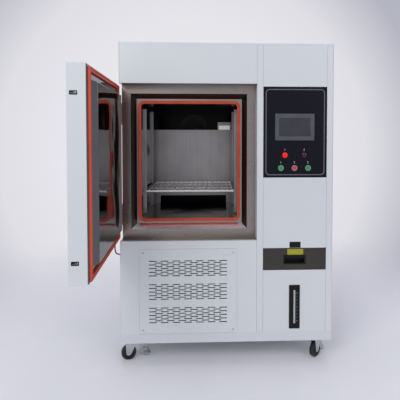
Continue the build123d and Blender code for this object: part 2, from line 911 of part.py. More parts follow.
# Evaporator coil between two end plates, with the return bends of its tubes
with BuildPart() as evaporator:
    coil_half = duct_half - panel_gap
    end_plate = 3.0
    bend_room = 2.6 * coil_tube_radius
    with BuildSketch(front_plane(coil_front)):
        rectangle_between(
            opening_middle - coil_half + bend_room,
            opening_middle + coil_half - bend_room,
            coil_bottom,
            coil_top,
        )
    extrude(amount=-coil_depth)
    for side in (-1, 1):
        plate_x = opening_middle + side * (coil_half - bend_room - end_plate / 2)
        with BuildSketch(Plane.YZ.offset(plate_x - end_plate / 2)):
            rectangle_between(
                coil_front - end_plate,
                coil_front + coil_depth + end_plate,
                coil_bottom - end_plate,
                coil_top + end_plate,
            )
            rectangle_between(
                coil_front,
                coil_front + coil_depth,
                chamber_floor + chamber_seat,
                coil_bottom,
            )
        extrude(amount=end_plate)
        tube_pitch = (coil_top - coil_bottom) / coil_tube_rows
        for row in range(coil_tube_rows):
            tube_z = coil_bottom + (row + 0.5) * tube_pitch
            with BuildSketch(Plane.YZ.offset(plate_x)):
                with Locations((coil_front + coil_depth / 2, tube_z)):
                    SlotCenterToCenter(coil_depth / 2, 2 * coil_tube_radius)
            extrude(amount=side * (bend_room + end_plate / 2))
keep(evaporator, "evaporator")

# Blower wheel on its shaft: curved blades between a back disc and a front ring
blade_start = (blower_radius * 0.7, 0)
blade_bow = (blower_radius * 0.86, blower_radius * 0.06)
blade_tip = (blower_radius * 0.95, blower_radius * 0.2)
with BuildSketch() as blower_blade:
    with BuildLine():
        edge_line = ThreePointArc(blade_start, blade_bow, blade_tip)
        other_edge = edge_line.moved(Location((0, -blower_blade_sheet)))
        add(other_edge)
        Line(edge_line @ 0, other_edge @ 0)
        Line(edge_line @ 1, other_edge @ 1)
    make_face()
with BuildPart() as blower_wheel:
    disc_sheet = 2.0
    with BuildSketch(front_plane(blower_front)):
        with Locations((opening_middle, blower_height)):
            Circle(blower_radius)
            Circle(blower_radius * 0.64, mode=Mode.SUBTRACT)
    extrude(amount=-disc_sheet)
    with BuildSketch(front_plane(blower_front + blower_width)):
        with Locations((opening_middle, blower_height)):
            Circle(blower_radius)
    extrude(amount=disc_sheet)
    with BuildSketch(front_plane(blower_front)):
        with Locations((opening_middle, blower_height)):
            with PolarLocations(0, blower_blades):
                add(blower_blade.sketch)
    extrude(amount=-blower_width)
    shaft_back = insulation_back + blower_motor_length * 0.6
    with BuildSketch(front_plane(blower_front + blower_width * 0.4)):
        with Locations((opening_middle, blower_height)):
            Circle(2.4 * blower_shaft_radius)
    extrude(amount=-blower_width * 0.6)
    with BuildSketch(front_plane(blower_front + blower_width)):
        with Locations((opening_middle, blower_height)):
            Circle(blower_shaft_radius)
    extrude(amount=-(shaft_back - blower_front - blower_width))
keep(blower_wheel, "blower_wheel")

# Blower motor behind the insulation, on a square flange
with BuildPart() as blower_motor:
    motor_front = insulation_back + chamber_seat
    with BuildSketch(front_plane(motor_front)):
        with Locations((opening_middle, blower_height)):
            RectangleRounded(2.4 * blower_motor_radius, 2.4 * blower_motor_radius, 8)
    extrude(amount=-2 * sheet)
    with BuildSketch(front_plane(motor_front)):
        with Locations((opening_middle, blower_height)):
            Circle(blower_motor_radius)
    extrude(amount=-blower_motor_length)
    fillet(blower_motor.faces().sort_by(Axis.Y)[-1].edges(), 10)
    with BuildSketch(front_plane(motor_front)):
        with Locations((opening_middle, blower_height)):
            Circle(blower_shaft_radius + run_gap)
    extrude(amount=-blower_motor_length * 0.65, mode=Mode.SUBTRACT)
keep(blower_motor, "blower_motor")

# Slotted shelf posts on the chamber's side walls, and the angle rails that carry the shelf
post_top = post_bottom + post_height
rail_leg = 14.0
rail_inner = chamber_half - post_depth - seat_gap
with BuildPart() as shelf_posts:
    for side in (-1, 1):
        wall_x = opening_middle + side * (chamber_half - seat_gap)
        face_x = wall_x - side * post_depth
        for post_y in (post_front_y, post_rear_y):
            with BuildSketch(Plane.XY.offset(post_bottom)):
                low_x, high_x = sorted((wall_x, face_x))
                rectangle_between(low_x, high_x, post_y - post_width / 2, post_y + post_width / 2)
                rectangle_between(
                    low_x + (post_sheet if side > 0 else 0),
                    high_x - (post_sheet if side < 0 else 0),
                    post_y - post_width / 2 + post_sheet,
                    post_y + post_width / 2 - post_sheet,
                    mode=Mode.SUBTRACT,
                )
            extrude(amount=post_height)
            with BuildSketch(Plane.YZ.offset(face_x)):
                with Locations((post_y, (post_bottom + post_top) / 2)):
                    with GridLocations(
                        1, post_slot_pitch, 1, int(post_height / post_slot_pitch)
                    ):
                        Rectangle(post_width / 2, post_width)
            extrude(amount=side * post_sheet, mode=Mode.SUBTRACT)
        rail_x = opening_middle + side * rail_inner
        with BuildSketch(front_plane(post_front_y - post_width)):
            low_x, high_x = sorted((rail_x, rail_x - side * post_sheet))
            rectangle_between(low_x, high_x, shelf_bottom - rail_leg, shelf_bottom + rail_leg)
            low_x, high_x = sorted((rail_x, rail_x - side * rail_leg))
            rectangle_between(
                low_x, high_x, shelf_bottom - seat_gap - post_sheet, shelf_bottom - seat_gap
            )
        extrude(amount=-(post_rear_y - post_front_y + 2 * post_width))
keep(shelf_posts, "shelf_posts")

# Wire shelf: a rod frame, a folded front lip and bars from front to back
with BuildPart() as shelf_rack:
    shelf_half = shelf_width / 2 - shelf_rod_radius
    rod_z = shelf_bottom + shelf_rod_radius
    shelf_back = shelf_front + shelf_depth
    for side in (-1, 1):
        with BuildSketch(front_plane(shelf_front)):
            with Locations((opening_middle + side * shelf_half, rod_z)):
                Circle(shelf_rod_radius)
        extrude(amount=-shelf_depth)
    for rod_y in (shelf_front + shelf_depth * 0.35, shelf_front + shelf_depth * 0.7):
        with BuildSketch(Plane.YZ.offset(opening_middle - shelf_half)):
            with Locations((rod_y, rod_z)):
                Circle(shelf_rod_radius)
        extrude(amount=2 * shelf_half)
    lip_places = ((shelf_front, shelf_lip_height), (shelf_back, 2 * shelf_rod_radius))
    for lip_y, lip_height in lip_places:
        with BuildSketch(Plane.YZ.offset(opening_middle - shelf_width / 2)):
            with Locations((lip_y, shelf_bottom + lip_height / 2)):
                RectangleRounded(2 * shelf_rod_radius, lip_height, shelf_rod_radius - 0.2)
        extrude(amount=shelf_width)
    bar_z = rod_z + shelf_rod_radius + shelf_bar_radius - 0.6
    with BuildSketch(front_plane(shelf_front)):
        with Locations((opening_middle, bar_z)):
            with GridLocations(shelf_width / (shelf_bars + 1), 1, shelf_bars, 1):
                Circle(shelf_bar_radius)
    extrude(amount=-shelf_depth)
    with BuildSketch(front_plane(shelf_back + shelf_rod_radius)):
        rectangle_between(
            opening_middle - shelf_width / 2,
            opening_middle + shelf_width / 2,
            shelf_bottom,
            bar_z + shelf_bar_radius,
        )
    extrude(amount=2 * shelf_rod_radius - 0.5)
keep(shelf_rack, "shelf_rack")

# Chamber lamp on the duct panel's lip, its window facing down and forwards
with BuildPart() as chamber_lamp:
    lamp_right = opening_middle + duct_half - post_depth
    lamp_bottom = duct_top + chamber_seat
    with BuildSketch(Plane.YZ.offset(lamp_right - lamp_width)):
        with BuildLine():
            Polyline(
                (duct_front, lamp_bottom),
                (duct_front + lamp_depth, lamp_bottom),
                (duct_front + lamp_depth, lamp_bottom + lamp_height),
                (duct_front - lamp_depth / 3, lamp_bottom + lamp_height),
                (duct_front - lamp_depth / 3, lamp_bottom + lamp_height * 0.6),
                close=True,
            )
        make_face()
    extrude(amount=lamp_width)
    fillet(chamber_lamp.edges().filter_by(Axis.X), 2)
keep(chamber_lamp, "chamber_lamp")

# Cable port: a tube through the left wall with a flange at each end
with BuildPart() as cable_port:
    port_inside = opening_middle - chamber_half + port_flange_sheet + seat_gap
    port_outside = -half_width - port_flange_sheet - seat_gap
    with BuildSketch(Plane.YZ.offset(port_outside)):
        with Locations((port_y, port_z)):
            Circle(port_radius + port_wall)
    extrude(amount=port_inside - port_outside)
    for flange_x in (port_outside, port_inside - port_flange_sheet):
        with BuildSketch(Plane.YZ.offset(flange_x)):
            with Locations((port_y, port_z)):
                Circle(port_radius + port_wall + port_flange)
        extrude(amount=port_flange_sheet)
    with BuildSketch(Plane.YZ.offset(port_outside)):
        with Locations((port_y, port_z)):
            Circle(port_radius)
    extrude(amount=port_inside - port_outside, mode=Mode.SUBTRACT)
keep(cable_port, "cable_port")

# Condenser in the lower bay: finned core, shroud with the fan's opening, and the fan's motor
condenser_x = opening_middle
condenser_bottom = base_bottom + floor_plate + chamber_seat
condenser_top = condenser_bottom + condenser_height + rail_height
condenser_mid_z = (condenser_top + condenser_bottom + rail_height) / 2
fan_y = condenser_front + condenser_core + shroud_depth - fan_width
motor_y = fan_y + fan_width + 6
with BuildPart() as condenser:
    with BuildSketch(front_plane(condenser_front)):
        with Locations((condenser_x, condenser_mid_z)):
            Rectangle(condenser_width, condenser_height)
    extrude(amount=-condenser_core)
    with BuildSketch(front_plane(condenser_front + condenser_core)):
        with Locations((condenser_x, condenser_mid_z)):
            Rectangle(condenser_width, condenser_height)
            Rectangle(
                condenser_width - 2 * shroud_sheet,
                condenser_height - 2 * shroud_sheet,
                mode=Mode.SUBTRACT,
            )
    extrude(amount=-shroud_depth)
    shroud_back = condenser_front + condenser_core + shroud_depth
    with BuildSketch(front_plane(shroud_back)):
        with Locations((condenser_x, condenser_mid_z)):
            Rectangle(condenser_width, condenser_height)
            Circle(fan_radius + fan_tip_gap, mode=Mode.SUBTRACT)
    extrude(amount=-shroud_sheet)
    with BuildSketch(front_plane(shroud_back)):
        with Locations((condenser_x, condenser_mid_z)):
            Circle(fan_radius + fan_tip_gap + shroud_sheet)
            Circle(fan_radius + fan_tip_gap, mode=Mode.SUBTRACT)
    extrude(amount=shroud_depth / 2)
    with BuildSketch(front_plane(motor_y)):
        with Locations((condenser_x, condenser_mid_z)):
            Circle(fan_motor_radius)
    extrude(amount=-fan_motor_length)
    with BuildSketch(front_plane(shroud_back + shroud_sheet)):
        with Locations((condenser_x, condenser_mid_z)):
            Rectangle(condenser_width, fan_strut)
            Circle(fan_motor_radius - 2, mode=Mode.SUBTRACT)
    extrude(amount=-fan_strut)
    with BuildSketch(front_plane(motor_y)):
        with Locations((condenser_x, condenser_mid_z)):
            Circle(fan_shaft_radius + run_gap)
    extrude(amount=-fan_motor_length * 0.6, mode=Mode.SUBTRACT)
    for side in (-1, 1):
        foot_x = condenser_x + side * (condenser_width / 2 - rail_width / 2)
        with BuildSketch(front_plane(condenser_front)):
            rectangle_between(
                foot_x - rail_width / 2,
                foot_x + rail_width / 2,
                condenser_bottom,
                condenser_bottom + rail_height,
            )
        extrude(amount=-condenser_core)
keep(condenser, "condenser")

# Condenser fan: twisted blades on a hub, on the motor's shaft
with BuildPart() as condenser_fan:
    with BuildSketch(front_plane(fan_y)):
        with Locations((condenser_x, condenser_mid_z)):
            Circle(fan_hub_radius)
    extrude(amount=-fan_width)
    fillet(condenser_fan.faces().sort_by(Axis.Y)[0].edges(), 4)
    blade_root = fan_hub_radius - 4
    for blade in range(fan_blades):
        hub = Location((condenser_x, fan_y + fan_width / 2, condenser_mid_z))
        spoke = hub * Location((0, 0, 0), (0, 360 / fan_blades * blade, 0))
        root = Plane(spoke * Location((0, 0, blade_root), (0, 0, 40)))
        tip = Plane(spoke * Location((0, 0, fan_radius), (0, 0, 22)))
        with BuildSketch(root):
            SlotOverall(fan_width * 1.3, 2.5)
        with BuildSketch(tip):
            SlotOverall(fan_width * 2.0, 2.5)
        loft()
    with BuildSketch(front_plane(fan_y + fan_width)):
        with Locations((condenser_x, condenser_mid_z)):
            Circle(fan_shaft_radius)
    extrude(amount=-(motor_y + fan_motor_length * 0.5 - fan_y - fan_width))
keep(condenser_fan, "condenser_fan")

# Compressor: a welded can with domed ends on three feet
with BuildPart() as compressor:
    can_bottom = base_bottom + floor_plate + chamber_seat
    with BuildSketch(Plane.XY.offset(can_bottom + compressor_foot)):
        with Locations((compressor_x, compressor_y)):
            Circle(compressor_radius)
    extrude(amount=compressor_height)
    fillet(compressor.edges().filter_by(GeomType.CIRCLE), compressor_radius * 0.4)
    with BuildSketch(Plane.XY.offset(can_bottom + compressor_foot)):
        with Locations((compressor_x, compressor_y)):
            RegularPolygon(compressor_radius * 1.35, 3)
            fillet(vertices(), compressor_radius * 0.2)
    extrude(amount=2 * sheet)
    for turn in (0, 120, 240):
        with BuildSketch(Plane.XY.offset(can_bottom)):
            with Locations((compressor_x, compressor_y)):
                with PolarLocations(compressor_radius, 1, start_angle=turn):
                    Circle(compressor_foot)
        extrude(amount=compressor_foot)
    with BuildSketch(Plane.XY.offset(can_bottom + compressor_foot + compressor_height / 2)):
        with Locations((compressor_x, compressor_y + compressor_radius * 1.4)):
            Circle(compressor_radius * 0.3)
    extrude(amount=compressor_height * 0.4)
    with BuildSketch(front_plane(compressor_y)):
        with Locations(
            (compressor_x, can_bottom + compressor_foot + compressor_height * 0.6)
        ):
            Circle(coil_tube_radius)
    extrude(amount=-compressor_radius * 1.4)
keep(compressor, "compressor")


def hinge_profile(leaf_near, leaf_far):
    """A hinge leaf on the side face with its web to the barrel, and the barrel itself."""
    leaf_face = -half_width - seat_gap
    leaf_outer = leaf_face - hinge_leaf_sheet
    low, high = sorted((leaf_near, leaf_far))
    rectangle_between(leaf_outer, leaf_face, low, high)
    Polygon(
        (leaf_outer, leaf_near),
        (leaf_outer, leaf_near + (leaf_far - leaf_near) / 3),
        (hinge_x - hinge_barrel_radius * 0.8, hinge_y),
        (hinge_x + hinge_barrel_radius * 0.8, hinge_y),
        align=None,
    )
    with Locations((hinge_x, hinge_y)):
        Circle(hinge_barrel_radius)


# Cabinet halves of the hinges, with the pins pressed into their outer knuckles
cabinet_leaf_near = flange_back + panel_gap
cabinet_leaf_far = cabinet_leaf_near + hinge_leaf_length
with BuildPart() as cabinet_hinges:
    for hinge_z in hinge_heights:
        outer_knuckle = (hinge_length - hinge_knuckle) / 2 - panel_gap / 2
        for knuckle_z in (hinge_z - hinge_length / 2, hinge_z + hinge_length / 2):
            away = 1 if knuckle_z < hinge_z else -1
            with BuildSketch(Plane.XY.offset(knuckle_z)):
                hinge_profile(cabinet_leaf_near, cabinet_leaf_far)
            extrude(amount=away * outer_knuckle)
        with BuildSketch(Plane.XY.offset(hinge_z - hinge_length / 2)):
            rectangle_between(
                -half_width - seat_gap - hinge_leaf_sheet,
                -half_width - seat_gap,
                cabinet_leaf_near,
                cabinet_leaf_far,
            )
            with Locations((hinge_x, hinge_y)):
                Circle(hinge_pin_radius)
        extrude(amount=hinge_length)
keep(cabinet_hinges, "cabinet_hinges")

# Door halves of the hinges, between the outer knuckles, on the door's edge
door_leaf_near = hinge_y - hinge_barrel_radius + hinge_leaf_sheet
door_leaf_far = edge_radius + hinge_leaf_sheet / 2
with BuildPart() as door_hinges:
    for hinge_z in hinge_heights:
        with BuildSketch(Plane.XY.offset(hinge_z - hinge_knuckle / 2 + panel_gap / 4)):
            hinge_profile(door_leaf_near, door_leaf_far)
            with Locations((hinge_x, hinge_y)):
                Circle(hinge_pin_radius + run_gap, mode=Mode.SUBTRACT)
        extrude(amount=hinge_knuckle - panel_gap / 2)
        with BuildSketch(Plane.XY.offset(hinge_z - hinge_length / 2)):
            rectangle_between(
                -half_width - seat_gap - hinge_leaf_sheet,
                -half_width - seat_gap,
                door_leaf_far,
                door_leaf_near,
            )
        extrude(amount=hinge_length)
keep(door_hinges, "door_hinges", door_swing)

# Door shell: a deep pan, with slots for the bolts and holes for the spindle and the cable
door_left = -half_width
door_right = mullion_left - door_gap
shell_bottom = door_bottom + door_gap
shell_top = door_top - door_gap
handle_x = door_right - handle_from_edge
gland_hole = gland_radius - port_wall
with BuildPart() as door_shell:
    with BuildSketch(front_plane()):
        rectangle_between(door_left, door_right, shell_bottom, shell_top)
    extrude(amount=-door_shell_depth)
    outer_edges = door_shell.edges().filter_by(Axis.Z).group_by(Axis.Y)[0]
    fillet(outer_edges.sort_by(Axis.X)[0], edge_radius)
    offset(amount=-door_sheet, openings=door_shell.faces().sort_by(Axis.Y)[-1])
    with BuildSketch(Plane.YZ.offset(door_right)):
        for latch_z in latch_heights:
            with Locations((latch_set_back, latch_z)):
                Rectangle(latch_slot_depth, latch_slot_height)
    extrude(amount=-door_sheet, mode=Mode.SUBTRACT)
    with BuildSketch(front_plane()):
        with Locations((handle_x, handle_height)):
            Circle(spindle_radius + run_gap)
    extrude(amount=-door_sheet, mode=Mode.SUBTRACT)
    with BuildSketch(Plane.YZ.offset(door_left)):
        with Locations((door_gland_y, door_gland_z)):
            Circle(gland_hole + seat_gap)
    extrude(amount=door_sheet, mode=Mode.SUBTRACT)
keep(door_shell, "door_shell", door_swing)

# Door insulation, with channels for the bolts, the spindle and the gland
plug_base_half = opening_half - plug_inset
plug_base_half_height = flange_half_height - plug_inset
plug_core_half = plug_base_half - plug_taper - 2 * liner_sheet
plug_core_half_height = plug_base_half_height - plug_taper - 2 * liner_sheet
bolt_channel = bolt_length + bolt_travel + 2 * door_sheet
with BuildPart() as door_insulation:
    foam_gap = door_sheet + chamber_seat
    with BuildSketch(front_plane(foam_gap)):
        rectangle_between(
            door_left + foam_gap,
            door_right - foam_gap,
            shell_bottom + foam_gap,
            shell_top - foam_gap,
        )
    extrude(amount=-(door_shell_depth - foam_gap - chamber_seat))
    outer_edges = door_insulation.edges().filter_by(Axis.Z).group_by(Axis.Y)[0]
    fillet(outer_edges.sort_by(Axis.X)[0], edge_radius)
    with BuildSketch(Plane.YZ.offset(door_right)):
        for latch_z in latch_heights:
            with Locations((latch_set_back, latch_z)):
                Rectangle(latch_slot_depth, latch_slot_height)
    extrude(amount=-bolt_channel, mode=Mode.SUBTRACT)
    with BuildSketch(front_plane()):
        with Locations((handle_x, handle_height)):
            Circle(spindle_radius + chamber_seat)
    extrude(amount=-(spindle_length + 2 * door_sheet), mode=Mode.SUBTRACT)
    with BuildSketch(Plane.YZ.offset(door_left)):
        with Locations((door_gland_y, door_gland_z)):
            Circle(gland_radius + chamber_seat)
    extrude(amount=gland_tail + 2 * door_sheet, mode=Mode.SUBTRACT)
    # The same foam fills the plug behind it
    with BuildSketch(front_plane(door_shell_depth - chamber_seat)):
        with Locations((opening_middle, door_middle)):
            Rectangle(
                2 * (plug_core_half - chamber_seat), 2 * (plug_core_half_height - chamber_seat)
            )
    extrude(amount=-(plug_face - liner_sheet - door_shell_depth))
keep(door_insulation, "door_insulation", door_swing)

# Door plug: a rim behind the shell and a tapered pan that enters the stepped frame
rim_back = door_shell_depth + seat_gap
with BuildPart() as door_plug:
    with BuildSketch(front_plane(rim_back)):
        rectangle_between(
            door_left + rim_inset,
            door_right - rim_inset,
            shell_bottom + rim_inset,
            shell_top - rim_inset,
        )
    extrude(amount=-rim_thickness)
    with BuildSketch(front_plane(rim_back)):
        with Locations((opening_middle, door_middle)):
            Rectangle(2 * plug_base_half, 2 * plug_base_half_height)
    with BuildSketch(front_plane(plug_face)):
        with Locations((opening_middle, door_middle)):
            Rectangle(
                2 * (plug_base_half - plug_taper),
                2 * (plug_base_half_height - plug_taper),
            )
    loft()
    fillet(door_plug.faces().sort_by(Axis.Y)[-1].edges(), 3)
    with BuildSketch(front_plane(rim_back)):
        with Locations((opening_middle, door_middle)):
            Rectangle(2 * plug_core_half, 2 * plug_core_half_height)
    extrude(amount=-(plug_face - rim_back - liner_sheet), mode=Mode.SUBTRACT)
keep(door_plug, "door_plug", door_swing)

# Door seal on the rim
with BuildPart() as door_gasket:
    gasket_y = rim_back + rim_thickness + seat_gap
    with BuildSketch(front_plane(gasket_y)):
        rectangle_between(
            door_left + door_gasket_inset,
            door_right - door_gasket_inset,
            shell_bottom + door_gasket_inset,
            shell_top - door_gasket_inset,
        )
        rectangle_between(
            door_left + door_gasket_inset + door_gasket_width,
            door_right - door_gasket_inset - door_gasket_width,
            shell_bottom + door_gasket_inset + door_gasket_width,
            shell_top - door_gasket_inset - door_gasket_width,
            mode=Mode.SUBTRACT,
        )
    extrude(amount=-(flange_set_back - door_gasket_gap - gasket_y))
    chamfer(door_gasket.faces().sort_by(Axis.Y)[-1].edges(), 2.5)
keep(door_gasket, "door_gasket", door_swing)

# Latch bolts, drawn back, with a sloped nose
for latch_z, node in zip(latch_heights, ("latch_bolt_top", "latch_bolt_bottom")):
    with BuildPart() as latch_bolt:
        with BuildSketch(Plane.YZ.offset(door_right + bolt_proud - bolt_length)):
            with Locations((latch_set_back, latch_z)):
                Rectangle(
                    latch_slot_depth - 2 * latch_clearance,
                    latch_slot_height - 2 * latch_clearance,
                )
        extrude(amount=bolt_length)
        nose = latch_bolt.faces().sort_by(Axis.X)[-1].edges()
        chamfer(nose.filter_by(Axis.Z).sort_by(Axis.Y)[-1], 8, 5)
    keep(latch_bolt, node, door_swing)

# Door handle: rose, neck, lever and the spindle that goes into the door
with BuildPart() as door_handle:
    rose_plane = front_plane(-seat_gap)
    with BuildSketch(rose_plane):
        with Locations((handle_x, handle_height)):
            Circle(rose_radius)
    extrude(amount=rose_thickness)
    fillet(door_handle.faces().sort_by(Axis.Y)[0].edges(), 3)
    with BuildSketch(rose_plane):
        with Locations((handle_x, handle_height)):
            Circle(neck_radius)
    extrude(amount=rose_thickness + neck_length)
    with BuildSketch(front_plane(-seat_gap - rose_thickness - neck_length)):
        with Locations((handle_x - lever_length / 2, handle_height)):
            SlotOverall(lever_length + lever_width, lever_width)
    extrude(amount=lever_thickness)
    fillet(door_handle.faces().sort_by(Axis.Y)[0].edges(), 5)
    with BuildSketch(rose_plane):
        with Locations((handle_x, handle_height)):
            Circle(spindle_radius)
    extrude(amount=-spindle_length)
keep(door_handle, "door_handle", door_swing)


def cable_gland(side_x, y, z, wall):
    """A cable gland in a side wall, its neck outside, pointing to the left."""
    with BuildPart() as gland:
        with BuildSketch(Plane.YZ.offset(side_x - seat_gap)):
            with Locations((y, z)):
                RegularPolygon(gland_radius, 6)
        extrude(amount=-gland_length * 0.35)
        with BuildSketch(Plane.YZ.offset(side_x - seat_gap)):
            with Locations((y, z)):
                Circle(gland_radius * 0.8)
        extrude(amount=-(gland_length - seat_gap), taper=6)
        with BuildSketch(Plane.YZ.offset(side_x - seat_gap)):
            with Locations((y, z)):
                Circle(gland_hole)
        extrude(amount=gland_tail + wall)
    return gland


keep(
    cable_gland(door_left, door_gland_y, door_gland_z, door_sheet), "door_gland", door_swing
)
keep(
    cable_gland(-half_width, cabinet_gland_y, cabinet_gland_z, sheet), "cabinet_gland"
)

# Door cable, from the neck of one gland to the neck of the other, hanging in a loose bow
cable_start = (
    door_swing * Location((door_left - gland_length, door_gland_y, door_gland_z))
).position
cable_end = Vector(-half_width - gland_length, cabinet_gland_y, cabinet_gland_z)
cable_route = [
    cable_start,
    cable_start + Vector(-1.3, 25, 0),
    cable_start + Vector(-5, 48, -9),
    cable_start + Vector(-9, 61, -30),
    cable_start + Vector(-13, 64, -56),
    cable_end + Vector(-31, 23, 45),
    cable_end + Vector(-28, 9, 15),
    cable_end + Vector(-16, 0, 0),
    cable_end,
]


def cable_radii(route):
    """For each corner of the route, a bend that its two runs leave room for."""
    radii = []
    for before, corner, after in zip(route, route[1:], route[2:]):
        arriving, leaving = corner - before, after - corner
        half_turn = radians(arriving.get_angle(leaving)) / 2
        radii.append(0.45 * min(arriving.length, leaving.length) / tan(half_turn))
    return radii


with BuildPart() as door_cable:
    with BuildLine() as cable_line:
        FilletPolyline(*cable_route, radius=cable_radii(cable_route))
    with BuildSketch(Plane(origin=cable_start, z_dir=cable_route[1] - cable_start)):
        Circle(cable_radius)
    sweep(path=cable_line.wires()[0])
keep(door_cable, "door_cable")

# Water drawer: front, moulded pull let into it, and the tank behind
pull_left = (bay_left + bay_right - drawer_pull_width) / 2
with BuildPart() as drawer_front:
    add(pan(bay_cover_left, bay_cover_right, drawer_bottom, drawer_top))
    with BuildSketch(front_plane()):
        rectangle_between(
            pull_left + seat_gap,
            pull_left + drawer_pull_width - seat_gap,
            drawer_pull_top - drawer_pull_height + seat_gap,
            drawer_pull_top - seat_gap,
        )
    extrude(amount=-sheet, mode=Mode.SUBTRACT)
keep(drawer_front, "drawer_front")

pull_middle = pull_left + drawer_pull_width / 2
pull_middle_z = drawer_pull_top - drawer_pull_height / 2
with BuildPart() as drawer_pull:
    with BuildSketch(front_plane(-seat_gap)):
        with Locations((pull_middle, pull_middle_z)):
            Rectangle(drawer_pull_width - 4 * seat_gap, drawer_pull_height - 4 * seat_gap)
    extrude(amount=-drawer_pull_depth - seat_gap)
    offset(amount=-pull_wall, openings=drawer_pull.faces().sort_by(Axis.Y)[0])
    # The lip round its mouth, wider at the top to grip by
    with BuildSketch(front_plane(-seat_gap)):
        with Locations((pull_middle, pull_middle_z)):
            RectangleRounded(
                drawer_pull_width + 2 * pull_lip, drawer_pull_height + 2 * pull_lip, pull_lip
            )
            Rectangle(
                drawer_pull_width - 2 * pull_wall - 4 * seat_gap,
                drawer_pull_height - 2 * pull_wall - 4 * seat_gap,
                mode=Mode.SUBTRACT,
            )
        rectangle_between(
            pull_left,
            pull_left + drawer_pull_width,
            drawer_pull_top - 2 * pull_lip,
            drawer_pull_top,
        )
    extrude(amount=sheet)
keep(drawer_pull, "drawer_pull")

with BuildPart() as water_tank:
    tank_bottom = drawer_shelf_top + chamber_seat
    tank_middle = (bay_left + bay_right) / 2
    tank_front = drawer_pull_depth + chamber_seat
    with BuildSketch(Plane.XY.offset(tank_bottom)):
        with Locations((tank_middle, tank_front + tank_length / 2)):
            RectangleRounded(tank_width, tank_length, 8)
    extrude(amount=tank_height)
    offset(amount=-tank_wall, openings=water_tank.faces().sort_by(Axis.Z)[-1])
    with BuildSketch(Plane.XY.offset(tank_bottom + tank_height)):
        with Locations((tank_middle, tank_front + tank_length / 2)):
            RectangleRounded(tank_width + 2 * tank_wall, tank_length, 8)
            RectangleRounded(
                tank_width - 2 * tank_wall,
                tank_length - 2 * tank_wall,
                8 - tank_wall,
                mode=Mode.SUBTRACT,
            )
    extrude(amount=-tank_wall)
keep(water_tank, "water_tank")

# Casters, each drawn with its swivel axis at X = 0, Y = 0 and its wheel trailing to the left
fork_inner = wheel_width / 2 + fork_side_gap
with BuildPart() as caster_fork:
    with BuildSketch(Plane.XY.offset(fork_crown_top - fork_crown_sheet)):
        with Locations((-caster_trail / 4, 0)):
            Rectangle(fork_top_width, 2 * (fork_inner + fork_sheet))
    extrude(amount=fork_crown_sheet)
    with BuildSketch(Plane.XY.offset(fork_crown_top)):
        Circle(swivel_radius)
    extrude(amount=base_bottom - caster_plate - chamber_seat - fork_crown_top)
    with BuildSketch(Plane.XY.offset(fork_crown_top)):
        Circle(king_pin_radius)
    extrude(amount=base_bottom - fork_crown_top)
    for side in (-1, 1):
        with BuildSketch(Plane.XZ.offset(side * fork_inner)):
            with Locations((-caster_trail, wheel_radius)):
                Circle(fork_foot_radius)
            with Locations((-caster_trail / 4, fork_crown_top - fork_crown_sheet / 2)):
                Rectangle(fork_top_width, fork_crown_sheet)
            make_hull()
        extrude(amount=side * fork_sheet)
    with BuildSketch(Plane.XZ.offset(-fork_inner - fork_sheet - 2 * axle_radius * 0.8)):
        with Locations((-caster_trail, wheel_radius)):
            Circle(axle_radius)
    extrude(amount=2 * (fork_inner + fork_sheet + 2 * axle_radius * 0.8))
    for side in (-1, 1):
        with BuildSketch(Plane.XZ.offset(side * (fork_inner + fork_sheet))):
            with Locations((-caster_trail, wheel_radius)):
                RegularPolygon(1.7 * axle_radius, 6)
        extrude(amount=side * axle_radius)

with BuildPart() as caster_wheel:
    with BuildSketch(Plane.XZ):
        with Locations((-caster_trail, wheel_radius)):
            Circle(wheel_radius)
    extrude(amount=wheel_width / 2, both=True)
    fillet(caster_wheel.edges().filter_by(GeomType.CIRCLE), 5)
    for side in (-1, 1):
        with BuildSketch(Plane.XZ.offset(side * wheel_width / 2)):
            with Locations((-caster_trail, wheel_radius)):
                Circle(wheel_radius * 0.7)
                Circle(wheel_hub_radius, mode=Mode.SUBTRACT)
        extrude(amount=-side * wheel_width * 0.2, mode=Mode.SUBTRACT)
    with BuildSketch(Plane.XZ.offset(-fork_inner + seat_gap)):
        with Locations((-caster_trail, wheel_radius)):
            Circle(wheel_hub_radius * 0.7)
    extrude(amount=2 * (fork_inner - seat_gap))
    with BuildSketch(Plane.XZ.offset(-fork_inner)):
        with Locations((-caster_trail, wheel_radius)):
            Circle(axle_radius + run_gap)
    extrude(amount=2 * fork_inner, mode=Mode.SUBTRACT)

corner_names = ("front_left", "front_right", "rear_left", "rear_right")
for place, yaw, corner_name in zip(caster_places, caster_yaws, corner_names):
    stand = Location((*place, 0), (0, 0, yaw))
    keep(caster_fork, f"caster_fork_{corner_name}", stand)
    keep(caster_wheel, f"caster_wheel_{corner_name}", stand)

# Levelling feet, screwed up clear of the floor
with BuildPart() as levelling_foot:
    with BuildSketch(Plane.XZ):
        with BuildLine():
            Polyline(
                (0, foot_lift),
                (foot_pad_radius, foot_lift),
                (foot_pad_radius, foot_lift + foot_pad_height * 0.3),
                (foot_stem_radius * 1.5, foot_lift + foot_pad_height),
                (foot_stem_radius, foot_lift + foot_pad_height),
                (foot_stem_radius, foot_lift + foot_stem_height),
                (0, foot_lift + foot_stem_height),
                close=True,
            )
        make_face()
    revolve(axis=Axis.Z)
    with BuildSketch(Plane.XY.offset(foot_lift + foot_pad_height)):
        RegularPolygon(foot_nut_radius, 6)
    extrude(amount=foot_nut_height)
for place, corner_name in zip(foot_places, corner_names):
    keep(levelling_foot, f"levelling_foot_{corner_name}", Location((*place, 0)))

